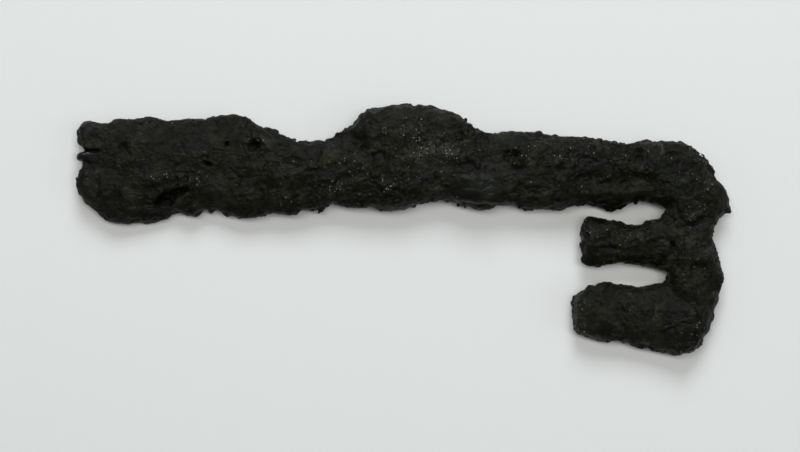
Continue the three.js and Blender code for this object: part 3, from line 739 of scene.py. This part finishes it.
# Handle crust
# Iron oxide over the flat handle plate: level, finely fibrous along the old forging, split by a
# slanting crevice, and broken off at the end round the iron tongue.
# Painted shade: the near-black colour laid into the hollows
PAINTED_SHADE_BLACK = "040401"
CRUST_DARK = "050502"
CRUST_OLIVE = "17180a"
CRUST_GREY = "27281d"
CRUST_BLUE = "131615"
CRUST_BROWN = "1b1409"
SCAB_DARK = "0a0b06"
SCAB_PALE = "151710"
FROST_GREY = "5a5b55"
RUST_ORANGE = "332312"
# Painted glints: pale specks on grains of sand, with their colour, pitch and radius
SAND_GLINT_PALE = "c2c4bc"
SAND_GLINT_PITCH = 0.66
SAND_GLINT_RADIUS = 0.17
GLINT_ROUGHNESS = 0.26
SCAB_ROUGHNESS = 0.42
CRUST_SPECULAR = 0.12
GRAIN_HEIGHT = 0.0004
FIBRE_SHARE = 0.6
FIBRE_SCALE = (0.12, 1, 1)
FIBRE_CLOUD = (0.5, 3, 14)
CRUST_CLOUDS = {
    "olive": (1.3, 5, 0),
    "grey": (4.0, 4, 2),
    "blue": (9.0, 3, 4),
    "brown": (6.0, 4, 6),
    "grains": (0.6, 3, 12),
    "clumps": (2.6, 4, 18),
    "sand_glint_scatter": (5.0, 2, 16),
    "dullness": (1.7, 4, 8),
    "grain": (0.7, 5, 10),
}

# Where each of these comes in over a cloud, a painted tone or the cells of the sand glints: the value
#  there at which it starts and is full, and then its amounts at the start and when full.
CRUST_SPANS = {
    "olive": ("olive", 0.42, 0.64, 0, 1),
    "grey": ("grey", 0.52, 0.72, 0, 1),
    "blue": ("blue", 0.54, 0.68, 0, 0.6),
    "brown": ("brown", 0.6, 0.72, 0, 0.6),
    "pale_scab": ("grey", 0.35, 0.65, 0, 1),
    # Painted shade: the deeper a place lies in a hollow, the blacker it is coloured
    "hollow": ("proud", -0.15, -0.9, 0, 1),
    "clumps": ("clumps", 0.4, 0.6, 0.25, 1),
    "crystals": ("grains", 0.36, 0.6, 0, 1),
    # Pale specks paint glints: their dots, their strengths, none in the hollows, and a few strays
    "sand_glint_dot": ("sand_glint_gap", SAND_GLINT_RADIUS / SAND_GLINT_PITCH, 0.5 * SAND_GLINT_RADIUS / SAND_GLINT_PITCH, 0, 1),
    "sand_glint_strength": ("sand_glint_draw", 0.2, 1, 0.08, 0.85),
    "sand_glint_on_tops": ("proud", -0.5, 0.05, 0, 1),
    "stray_sand_glints": ("sand_glint_scatter", 0.45, 0.7, 0, 0.12),
    "dullness": ("dullness", 0.35, 0.65, 0.36, 0.58),
    "glints": ("grains", 0.57, 0.61, 0, 1),
    "grain_left": ("closed", 0, 1, 1, 0.45),
}


def waxed_crust():
    """Hard iron oxide soaked with wax: near black, olive to grey, with painted shade blackening the
    hollows, and a satin shine that is stronger where it was rubbed. Live rust and frosty mineral
    show, and pale specks paint glints on grains of sand."""
    material, tree, shader, at, given = new_material("waxed_iron_oxide", CRUST_CLOUDS)
    for tone in ("proud", "closed", "fibre", "polish", "frost", "rust", "sparkle"):
        given[tone] = add_node(tree, "ShaderNodeAttribute", {"attribute_name": tone}).outputs["Fac"]
    sand_glint_cells = add_node(tree, "ShaderNodeTexVoronoi", {"Scale": 1000 / SAND_GLINT_PITCH, "Vector": at})
    draws = add_node(tree, "ShaderNodeSeparateColor", {"Color": sand_glint_cells.outputs["Color"]})
    given |= {"sand_glint_gap": sand_glint_cells.outputs["Distance"], "sand_glint_draw": draws.outputs["Green"]}

    share = {}
    for name, (source, start, full, amount_at_start, amount_when_full) in CRUST_SPANS.items():
        limits = {"From Min": start, "From Max": full, "To Min": amount_at_start, "To Max": amount_when_full}
        share[name] = add_node(tree, "ShaderNodeMapRange", limits | {"Value": given[source]}).outputs["Result"]

    # Frost and rust are broken up into clumps of crystals
    clumping = {"operation": "MULTIPLY", 0: share["clumps"], 1: share["crystals"]}
    clumps = add_node(tree, "ShaderNodeMath", clumping).outputs[0]
    for tone in ("frost", "rust"):
        broken = {"operation": "MULTIPLY", 0: given[tone], 1: clumps}
        share[tone] = add_node(tree, "ShaderNodeMath", broken).outputs[0]

    # Painted glints: pale specks on grains of sand in the wax, by chance and mostly where they are painted,
    # and not down in the hollows
    either = {"operation": "MAXIMUM", 0: share["stray_sand_glints"], 1: given["sparkle"]}
    wanted = add_node(tree, "ShaderNodeMath", either).outputs[0]
    chosen = {"operation": "LESS_THAN", 0: draws.outputs["Red"], 1: wanted}
    sand_glints = add_node(tree, "ShaderNodeMath", chosen).outputs[0]
    for factor in ("sand_glint_dot", "sand_glint_strength", "sand_glint_on_tops"):
        fewer = {"operation": "MULTIPLY", 0: sand_glints, 1: share[factor]}
        sand_glints = add_node(tree, "ShaderNodeMath", fewer).outputs[0]

    # Coats of colour, from the first to the last
    greens = {"data_type": "RGBA", MIX_UNDER: linear(SCAB_DARK), MIX_OVER: linear(SCAB_PALE)}
    scab = add_node(tree, "ShaderNodeMix", greens | {MIX_SHARE: share["pale_scab"]}).outputs[MIX_RESULT]
    colour = linear(CRUST_DARK)
    for cover, paint in (
        (share["olive"], linear(CRUST_OLIVE)),
        (share["grey"], linear(CRUST_GREY)),
        (share["blue"], linear(CRUST_BLUE)),
        (share["brown"], linear(CRUST_BROWN)),
        (given["closed"], scab),
        # painted shade in the hollows
        (share["hollow"], linear(PAINTED_SHADE_BLACK)),
        (share["frost"], linear(FROST_GREY)),
        (share["rust"], linear(RUST_ORANGE)),
        # painted glints on grains of sand
        (sand_glints, linear(SAND_GLINT_PALE)),
    ):
        coat = {"data_type": "RGBA", MIX_SHARE: cover, MIX_UNDER: colour, MIX_OVER: paint}
        colour = add_node(tree, "ShaderNodeMix", coat).outputs[MIX_RESULT]

    # The wax shines most on some grains, on closed skin and where it was rubbed
    dull = share["dullness"]
    for cover, roughness in (
        (share["glints"], GLINT_ROUGHNESS),
        (given["closed"], SCAB_ROUGHNESS),
        (given["polish"], GLINT_ROUGHNESS),
    ):
        shine = {"data_type": "FLOAT", "Factor": cover, "A": dull, "B": roughness}
        dull = add_node(tree, "ShaderNodeMix", shine).outputs["Result"]

    # Fine grain, with the forging's fibres where they show
    along = add_node(tree, "ShaderNodeMapping", {"Scale": FIBRE_SCALE, "Vector": at}).outputs["Vector"]
    fibres = add_node(tree, "ShaderNodeTexNoise", cloud_fittings(along, *FIBRE_CLOUD)).outputs["Fac"]
    weaker = {"operation": "MULTIPLY", 0: given["fibre"], 1: FIBRE_SHARE}
    shown = add_node(tree, "ShaderNodeMath", weaker).outputs[0]
    together = {"operation": "MULTIPLY_ADD", 0: shown, 1: fibres, 2: given["grain"]}
    rough = add_node(tree, "ShaderNodeMath", together).outputs[0]
    smoothed = {"operation": "MULTIPLY", 0: rough, 1: share["grain_left"]}
    height = add_node(tree, "ShaderNodeMath", smoothed).outputs[0]
    bump = add_node(tree, "ShaderNodeBump", {"Strength": 1.0, "Distance": GRAIN_HEIGHT, "Height": height})
    finish = {"Base Color": colour, "Roughness": dull, "Specular IOR Level": CRUST_SPECULAR}
    fit_node(tree, shader, finish | {"Normal": bump.outputs["Normal"]})
    return material


rough_crust = waxed_crust()

# Marks have their middle in plan, half length and half width in millimetres, turn in degrees, rise
# or sink, and form. Beads have their middle and radius, and a hollow has a radius under zero.
# Patches of paint are given as marks are, with a tone and its strength in place of rise and form.
# Patches of the sparkle tone set where the painted glints on grains of sand gather.
HANDLE_MARKS = {
    "gap_over_tongue": (-81.5, 20.2, 3.0, 0.5, 0, -1.2, "swell"),
    "black_spot": (-72.4, 20.9, 1.0, 1.3, 20, -0.9, "swell"),
    "small_spot_above": (-74.6, 22.6, 0.6, 0.6, 0, -0.6, "swell"),
    "small_spot_below": (-70.8, 19.2, 0.6, 0.5, 0, -0.6, "swell"),
    "round_hole": (-45.4, 22.5, 0.5, 0.6, 0, -1.6, "swell"),
    "hole_rim": (-46.9, 21.3, 0.9, 0.35, -45, 0.3, "swell"),
    "shoulder_pit": (-38.9, 21.6, 1.3, 0.8, 0, -0.4, "swell"),
    "shoulder_pit_brow": (-38.2, 23.5, 1.6, 0.5, 8, 0.4, "swell"),
    "shoulder_fold_upper": (-33.6, 23.2, 4.2, 0.3, -38, 0.3, "swell"),
    "shoulder_fold_lower": (-35.2, 21.6, 4.2, 0.3, -38, 0.3, "swell"),
    "oval_hole": (-50.4, 16.8, 1.3, 0.5, 0, -1.1, "swell"),
    "oval_hole_brow": (-50.6, 17.7, 1.9, 0.35, 0, 0.25, "swell"),
    "long_ridge": (-57.9, 13.4, 8.8, 0.7, -2, 0.35, "swell"),
    "hollow_under_ridge": (-64.0, 10.6, 5.0, 1.4, 8, -0.4, "swell"),
    "slanting_crevice": (-59.6, 9.1, 4.6, 0.6, 26, -0.8, "swell"),
    "crevice_end": (-61.8, 7.2, 1.8, 1.3, 10, -1.3, "swell"),
    "crevice_roof": (-56.8, 11.6, 2.6, 1.0, 26, 1.1, "swell"),
    "crevice_lip": (-57.4, 7.9, 2.6, 0.8, 27, 0.9, "swell"),
    "crevice_stub": (-56.3, 12.8, 0.5, 1.0, -10, -1.2, "swell"),
    "lobe_fold_upper": (-52.5, 11.2, 3.0, 0.3, 6, 0.35, "swell"),
    "lobe_fold_middle": (-47.5, 10.2, 2.4, 0.3, -28, 0.35, "swell"),
    "lobe_fold_lower": (-44.8, 7.6, 2.6, 0.3, -40, 0.35, "swell"),
    "smooth_bead": (-55.9, 6.9, 1.2, 0.65, 8, 0.5, "ball"),
    "ledge_lip": (-66.1, 5.7, 3.0, 0.35, 3, 0.5, "swell"),
    "under_ledge_lip": (-67.5, 4.2, 6.5, 0.9, -3, -0.5, "swell"),
    "scab_groove": (-79.0, 12.4, 0.4, 2.2, 0, -0.35, "swell"),
    "top_edge_fold": (-68.6, 28.0, 2.2, 0.4, -10, 0.35, "swell"),
    "short_split": (-42.9, 14.1, 1.7, 0.3, -38, -0.6, "swell"),
    "lens_on_lower_edge": (-30.4, 4.4, 2.2, 0.6, -4, 0.4, "ball"),
}
NECK_MARKS = {
    "blister_lip": (-29.6, 17.4, 3.6, 0.45, -8, 0.5, "swell"),
    "groove_over_blister": (-29.8, 18.4, 4.2, 0.35, -6, -0.35, "swell"),
    "upright_fold": (-23.2, 13.0, 0.4, 1.8, 5, 0.45, "swell"),
}
HANDLE_BEADS = (
    (-83.2, 17.9, 5.0, 1.0),
    (-81.8, 17.4, 5.0, 1.2),
    (-66.0, 28.0, 6.0, 0.9),
    (-50.2, 28.2, 6.0, 1.4),
    (-41.2, 28.7, 6.2, 1.0),
    (-35.4, 25.9, 5.5, 1.1),
    (-33.2, 24.9, 5.5, 1.5),
    (-31.2, 23.9, 5.5, 1.5),
    (-29.2, 22.9, 5.5, 1.5),
    (-59.6, 5.4, 3.4, 1.3),
    (-50.2, 5.0, 4.0, 1.6),
    (-46.0, 4.5, 4.2, 1.6),
    (-36.2, 4.8, 4.2, 1.7),
)
HANDLE_PATCHES = (
    (-58.0, 13.2, 9.5, 1.5, -2, "sparkle", 0.75),
    (-38.6, 23.4, 2.4, 1.4, 8, "sparkle", 0.7),
    (-33.0, 16.6, 5.0, 2.6, -10, "sparkle", 0.45),
    (-30.0, 7.0, 7.0, 3.0, 0, "sparkle", 0.3),
    (-67.6, 25.2, 2.0, 3.0, 0, "sparkle", 0.35),
    (-55.4, 18.9, 1.3, 0.6, 10, "rust", 0.9),
    (-50.7, 19.4, 0.5, 0.4, 0, "rust", 0.8),
    (-48.8, 17.2, 0.7, 0.6, 0, "rust", 0.9),
    (-36.7, 16.8, 0.4, 1.0, 0, "rust", 0.7),
    (-38.2, 23.6, 1.4, 0.6, 8, "polish", 1.0),
    (-66.1, 5.8, 3.0, 0.4, 3, "polish", 1.0),
    (-52.8, 14.2, 2.2, 1.0, 0, "polish", 0.7),
    (-60.4, 13.0, 2.0, 0.8, 0, "polish", 0.7),
    (-34.4, 22.3, 4.5, 1.3, -38, "frost", 0.22),
    (-67.6, 24.6, 1.4, 2.4, 0, "frost", 0.14),
    (-48.2, 11.0, 3.0, 2.0, -20, "frost", 0.1),
)

handle = crust_field("handle_crust", HANDLE_MARKS | NECK_MARKS, HANDLE_BEADS)
add_piece("handle_crust", handle, fields["handle_crust"][0], HANDLE_PATCHES, rough_crust)

# Shank crust
# The sleeve round the long bar: rounder and rougher than the handle, with a shelf of nodules
# along its upper side, a long hollow before the bit, and folds that sag over the lower edge.
SHANK_MARKS = {
    "crater_bead": (-4.2, 10.7, 1.5, 1.2, 0, 0.7, "ball"),
    "crater_moat": (-3.8, 10.1, 2.6, 2.2, 0, -0.35, "ring"),
    "crater_rim": (-2.2, 9.2, 3.6, 3.0, 0, 0.4, "ring"),
    "brow_shelf": (5.0, 19.4, 6.0, 2.0, 6, 0.5, "swell"),
    "brow_corner": (11.6, 19.0, 3.6, 1.6, -8, 0.6, "swell"),
    "lens_on_edge": (-13.8, 6.3, 3.4, 0.8, -5, 0.4, "ball"),
    "knob_by_dish": (14.0, 7.5, 0.7, 0.7, 0, 0.6, "ball"),
    "drip_lip": (23.0, 6.2, 5.6, 0.5, -3, -0.5, "swell"),
    "crater_lobe": (29.8, 18.5, 1.1, 0.8, 20, 0.8, "swell"),
    "crater_brow": (28.2, 20.8, 2.2, 0.4, 4, 0.4, "swell"),
    "slit": (30.2, 15.8, 1.8, 0.6, -5, -0.9, "swell"),
    "fold_on_lower_edge": (40.6, 6.6, 4.0, 0.4, 12, 0.4, "swell"),
    "second_fold": (34.0, 8.4, 4.4, 0.5, 6, 0.35, "swell"),
    "left_hollow": (-15.2, 13.4, 2.4, 1.2, 20, -0.6, "swell"),
    "middle_hollow": (7.0, 12.6, 3.2, 1.6, -10, -0.5, "swell"),
}
BEND_MARKS = {
    "white_facet": (66.8, 20.9, 0.8, 1.4, 10, 0.45, "plate"),
    "shade_of_edge_nodule": (70.0, 19.6, 1.9, 0.5, -6, -0.7, "swell"),
}
SHANK_BEADS = (
    (0.2, 5.9, 4.0, 1.7),
    (2.6, 6.7, 4.0, 1.7),
    (4.8, 7.3, 4.0, 1.4),
    (-23.0, 22.2, 5.2, 0.8),
    (-19.2, 23.2, 5.4, 0.8),
    (-23.6, 5.4, 4.0, 1.8),
    (-21.4, 5.8, 4.0, 1.7),
    (17.6, 3.0, 5.0, -3.0),
    (28.6, 3.3, 5.0, -3.6),
    (36.6, 2.4, 5.0, -3.4),
    (50.6, 2.8, 5.0, -3.0),
    (51.0, 25.8, 5.0, -3.0),
    (33.4, 23.7, 6.0, 1.0),
    (35.1, 24.5, 6.0, 1.4),
    (37.0, 23.6, 6.0, 1.0),
    (44.2, 23.1, 6.0, 1.0),
    (46.6, 22.9, 6.0, 0.8),
    (48.9, 22.5, 6.4, 0.9),
    (57.2, 21.8, 6.0, 0.7),
    (32.4, 5.9, 3.8, 1.0),
    (41.1, 5.9, 3.8, 1.0),
    (54.8, 5.7, 4.0, 1.4),
    (57.0, 6.4, 4.0, 1.1),
)
BEND_BEADS = (
    (62.6, 26.0, 5.0, -3.4),
    (66.2, 26.2, 5.0, -3.4),
    (70.6, 21.4, 6.0, 1.2),
    (75.3, 19.7, 6.0, 1.3),
    (77.6, 18.0, 6.0, 0.8),
)
SHANK_PATCHES = (
    (44.0, 20.4, 18.0, 3.6, -3, "sparkle", 0.65),
    (-20.0, 9.0, 7.0, 4.0, 0, "sparkle", 0.6),
    (-26.4, 16.6, 3.6, 2.0, -30, "sparkle", 0.75),
    (-13.0, 15.6, 9.0, 3.0, 0, "sparkle", 0.4),
    (-4.2, 10.8, 3.0, 2.6, 0, "sparkle", 0.7),
    (3.8, 12.4, 2.6, 1.6, 0, "sparkle", 0.5),
    (29.0, 18.6, 3.4, 2.6, 0, "sparkle", 0.7),
    (6.4, 20.0, 7.6, 3.4, 4, "sparkle", 0.8),
    (7.0, 20.4, 8.0, 3.8, 8, "frost", 0.5),
    (-5.0, 17.9, 0.8, 0.4, 0, "polish", 1.0),
    (-10.2, 13.9, 0.8, 0.5, 0, "polish", 1.0),
    (-16.4, 12.6, 0.6, 0.5, 0, "polish", 1.0),
    (4.4, 12.9, 0.6, 0.6, 0, "polish", 1.0),
    (-4.2, 10.8, 1.2, 1.1, 0, "polish", 0.9),
    (28.6, 19.8, 1.6, 0.8, 0, "polish", 1.0),
    (-12.0, 18.4, 2.4, 1.6, 0, "rust", 0.12),
    (-13.8, 19.8, 0.7, 0.5, 0, "rust", 0.5),
    (47.0, 21.4, 15.0, 1.6, -3, "frost", 0.1),
    (66.8, 20.9, 0.8, 1.4, 10, "frost", 0.9),
    (22.5, 17.4, 3.6, 1.6, 0, "frost", 0.2),
    (41.0, 6.6, 4.2, 0.8, 12, "frost", 0.15),
)

shank_marks = NECK_MARKS | SHANK_MARKS | BEND_MARKS
shank = crust_field("shank_crust", shank_marks, SHANK_BEADS + BEND_BEADS)
add_piece("shank_crust", shank, fields["shank_crust"][0], SHANK_PATCHES, rough_crust)

# Hump
# A long concretion grown on the shank's upper edge, with a frosty brow that hangs over the
# valley along its foot, and small ringed nodules in its face.
HUMP_MARKS = {
    "ringed_nodule": (8.8, 22.0, 0.7, 0.7, 0, 0.7, "ball"),
    "ring_round_nodule": (8.8, 22.0, 1.5, 1.5, 0, -0.4, "ring"),
    "second_nodule": (9.1, 20.0, 0.7, 0.6, 0, 0.5, "ball"),
    "right_nodule": (14.6, 24.0, 0.8, 0.8, 0, 0.7, "ball"),
    "ring_round_right": (14.6, 24.0, 1.7, 1.6, 0, -0.4, "ring"),
    "left_slope": (-12.5, 22.4, 3.4, 1.2, 35, -0.4, "swell"),
}
HUMP_BEADS = (
    (-12.2, 27.6, 6.0, 1.2),
    (-11.4, 28.9, 6.0, 1.0),
    (-7.4, 30.2, 6.2, 1.0),
    (1.4, 32.0, 5.5, 0.7),
    (4.0, 31.8, 5.5, 0.7),
    (9.1, 30.8, 6.0, 1.2),
    (12.6, 29.5, 5.5, 0.7),
    (15.2, 28.0, 5.5, 0.9),
    (18.8, 24.6, 5.5, 0.7),
    (19.4, 28.6, 5.5, -2.6),
)
HUMP_PATCHES = (
    (8.0, 21.6, 10.0, 5.0, 0, "sparkle", 0.7),
    (2.0, 26.0, 16.0, 6.0, 0, "sparkle", 0.25),
    (2.0, 25.0, 12.0, 5.0, 0, "frost", 0.14),
    (7.0, 20.4, 8.0, 3.8, 8, "frost", 0.5),
    (14.0, 22.6, 4.6, 2.6, -30, "frost", 0.3),
    (8.8, 22.0, 0.8, 0.7, 0, "polish", 1.0),
    (14.6, 24.2, 0.8, 0.8, 0, "polish", 1.0),
    (18.7, 24.2, 0.7, 0.7, 0, "polish", 1.0),
)

hump = crust_field("shank_hump", HUMP_MARKS | SHANK_MARKS, HUMP_BEADS)
add_piece("shank_hump", hump, fields["shank_hump"][0], HUMP_PATCHES, rough_crust)

# Bit: arm and tooth crusts
# The sleeves round the bent end and the two teeth that did the lifting. Creased facets cross the
# arm's upper part, a square pit lies at the inner tooth's root, and the outer tooth is streaked.
ARM_MARKS = {
    "crease": (75.2, 3.5, 3.2, 0.4, 28, 0.7, "swell"),
    "under_crease": (75.8, 2.1, 3.2, 0.45, 25, -0.8, "swell"),
    "upright_crease": (72.6, 4.0, 0.4, 2.2, 24, 0.5, "swell"),
    "bend_boss": (72.9, 11.7, 1.9, 1.6, 0, 0.7, "swell"),
    "low_bead": (74.1, -30.4, 1.1, 0.8, 20, 0.6, "ball"),
    "flank_bead": (77.2, -21.4, 0.9, 1.4, 0, 0.5, "ball"),
    "outer_fold": (76.0, -18.6, 0.5, 3.4, 6, 0.4, "swell"),
    "lower_fold": (71.0, -25.2, 3.4, 0.5, 12, -0.4, "swell"),
}
ROOT_MARKS = {
    "root_pit": (69.7, -3.5, 0.7, 0.9, 0, -1.3, "plate"),
    "pit_facet": (67.2, -3.6, 1.4, 0.9, 0, 0.25, "swell"),
    "root_lobe": (65.8, -7.2, 2.0, 1.3, 20, 0.45, "swell"),
}
INNER_TOOTH_MARKS = {
    "tip_facet": (48.4, -1.2, 2.4, 2.0, 0, 0.4, "swell"),
    "long_groove": (53.6, -5.0, 3.4, 0.6, 0, -0.6, "swell"),
    "short_groove": (59.3, -2.8, 1.4, 0.7, 0, -0.6, "swell"),
    "upright_band": (61.6, -4.0, 1.0, 3.0, 8, 0.35, "swell"),
}
OUTER_TOOTH_MARKS = {
    "tip_facet": (46.8, -18.8, 1.8, 2.4, 0, 0.35, "swell"),
    "tip_bead": (46.6, -25.1, 1.0, 0.9, 0, 0.5, "swell"),
    "slanting_fold": (58.4, -20.6, 3.2, 0.5, -42, 0.45, "swell"),
    "lower_lip": (50.8, -28.0, 4.2, 0.5, -14, 0.45, "swell"),
    "smooth_facet": (55.4, -26.6, 2.1, 0.9, -8, 0.35, "plate"),
}
BIT_BEADS = (
    (46.9, -4.2, 5.5, 1.5),
    (48.0, -7.8, 5.0, 1.7),
    (65.7, 2.0, 6.0, 1.1),
    (67.4, 1.7, 6.0, 1.0),
    (64.0, 0.9, 6.4, 0.8),
    (48.5, 2.4, 5.5, 0.9),
    (54.6, 1.4, 5.5, 0.8),
    (47.0, -1.2, 5.5, 1.1),
    (49.0, -15.6, 6.0, 1.1),
    (57.6, -28.9, 4.5, 1.2),
    (60.2, -29.2, 4.5, 1.9),
    (62.4, -29.9, 4.5, 2.1),
    (65.2, -30.6, 4.5, 2.0),
    (67.8, -31.0, 4.5, 1.8),
    (70.4, -31.6, 4.5, 1.1),
    (76.0, -29.2, 5.0, 2.1),
    (77.9, -25.6, 5.0, 2.2),
    (79.2, -22.4, 5.0, 2.0),
    (80.4, -18.6, 5.0, 2.1),
    (80.4, 14.8, 6.4, 0.9),
)
BIT_PATCHES = (
    (74.0, 18.0, 9.0, 5.0, -30, "sparkle", 0.5),
    (79.0, 10.0, 3.0, 7.0, 0, "sparkle", 0.45),
    (75.0, 2.6, 5.0, 3.0, 20, "sparkle", 0.6),
    (77.7, -6.0, 3.4, 4.0, 0, "sparkle", 0.8),
    (48.6, -0.6, 3.4, 2.6, 0, "sparkle", 0.6),
    (58.6, -1.6, 5.0, 1.6, 0, "sparkle", 0.35),
    (47.0, -22.0, 2.4, 6.0, 0, "sparkle", 0.5),
    (76.0, -22.0, 3.0, 6.0, 0, "sparkle", 0.35),
    (74.0, -30.4, 2.6, 1.8, 0, "sparkle", 0.6),
    (58.0, -22.0, 11.0, 6.0, 0, "frost", 0.07),
    (75.0, -4.0, 5.0, 20.0, 0, "frost", 0.06),
    (48.2, -1.0, 1.5, 1.3, 0, "polish", 1.0),
    (59.2, -1.3, 0.8, 0.4, -30, "polish", 1.0),
    (46.6, -18.6, 1.2, 1.8, 0, "polish", 0.9),
    (46.9, -23.4, 1.0, 0.8, 0, "polish", 1.0),
    (55.4, -26.6, 2.0, 0.9, -8, "polish", 0.7),
    (72.9, 11.9, 1.7, 1.4, 0, "polish", 0.9),
    (75.4, 3.8, 2.6, 0.6, 28, "polish", 1.0),
    (77.2, -21.0, 0.9, 1.5, 0, "polish", 1.0),
    (74.1, -30.4, 1.1, 0.8, 20, "polish", 1.0),
    (67.2, -3.6, 1.2, 0.9, 0, "polish", 0.6),
    (67.2, -3.6, 1.4, 1.0, 0, "frost", 0.2),
    (77.7, -5.8, 2.8, 2.2, 0, "frost", 0.3),
    (62.0, -3.4, 1.2, 3.0, 8, "frost", 0.12),
    (79.4, 12.4, 1.6, 3.6, 20, "frost", 0.2),
    (50.8, -28.0, 4.0, 0.6, -14, "frost", 0.3),
    (58.2, -20.4, 3.0, 0.8, -42, "frost", 0.15),
    (63.0, -28.2, 1.4, 0.6, 0, "rust", 0.2),
    (76.8, -10.8, 2.0, 2.0, 0, "rust", 0.08),
)

bit_marks = {
    "arm_crust": BEND_MARKS | ARM_MARKS | ROOT_MARKS | INNER_TOOTH_MARKS | OUTER_TOOTH_MARKS,
    "inner_tooth_crust": ROOT_MARKS | INNER_TOOTH_MARKS,
    "outer_tooth_crust": OUTER_TOOTH_MARKS,
}
for sleeve, marks in bit_marks.items():
    body = crust_field(sleeve, marks, BIT_BEADS + BEND_BEADS)
    add_piece(sleeve, body, fields[sleeve][0], BIT_PATCHES, rough_crust)

# Rough lumps
# Smaller concretions of the same oxide: the flake under the handle's lower edge, a nodule on the
# shank's edge, a boss on the arm and a lump on its flank.
LUMP_MARKS = HANDLE_MARKS | SHANK_MARKS | BEND_MARKS | ARM_MARKS
for lump in ("handle_ledge_flake", "edge_nodule", "arm_boss", "arm_lump"):
    body = crust_field(lump, LUMP_MARKS, HANDLE_BEADS + SHANK_BEADS + BEND_BEADS)
    add_piece(lump, body, fields[lump][0], BIT_PATCHES, rough_crust)

# Smooth scabs
# Dense oxide blisters and drips with a closed, grey-green skin. They take the wax evenly, so they
# shine softly over their whole face.
SCAB_BEADS = (
    (-84.2, 24.8, 5.0, 1.1),
    (-83.7, 23.0, 5.0, 1.5),
    (-83.5, 12.2, 5.5, 1.6),
    (-83.5, 9.8, 5.5, 2.1),
    (84.3, 5.1, 6.2, 1.1),
    (83.4, 7.0, 6.2, 1.3),
    (85.0, 11.0, 6.2, -1.8),
)
SCAB_PATCHES = (
    (83.6, 7.0, 1.8, 3.6, 0, "frost", 0.2),
    (-29.6, 17.3, 4.0, 0.8, -8, "sparkle", 0.95),
    (-80.6, 8.8, 2.2, 1.7, -30, "frost", 0.2),
    (-81.3, 11.8, 1.6, 1.2, 0, "frost", 0.15),
    (-82.2, 24.4, 1.4, 1.7, 0, "frost", 0.12),
)
for scab in SMOOTH:
    body = crust_field(scab, LUMP_MARKS | NECK_MARKS, SCAB_BEADS)
    add_piece(scab, body, fields[scab][0], SCAB_PATCHES, rough_crust)
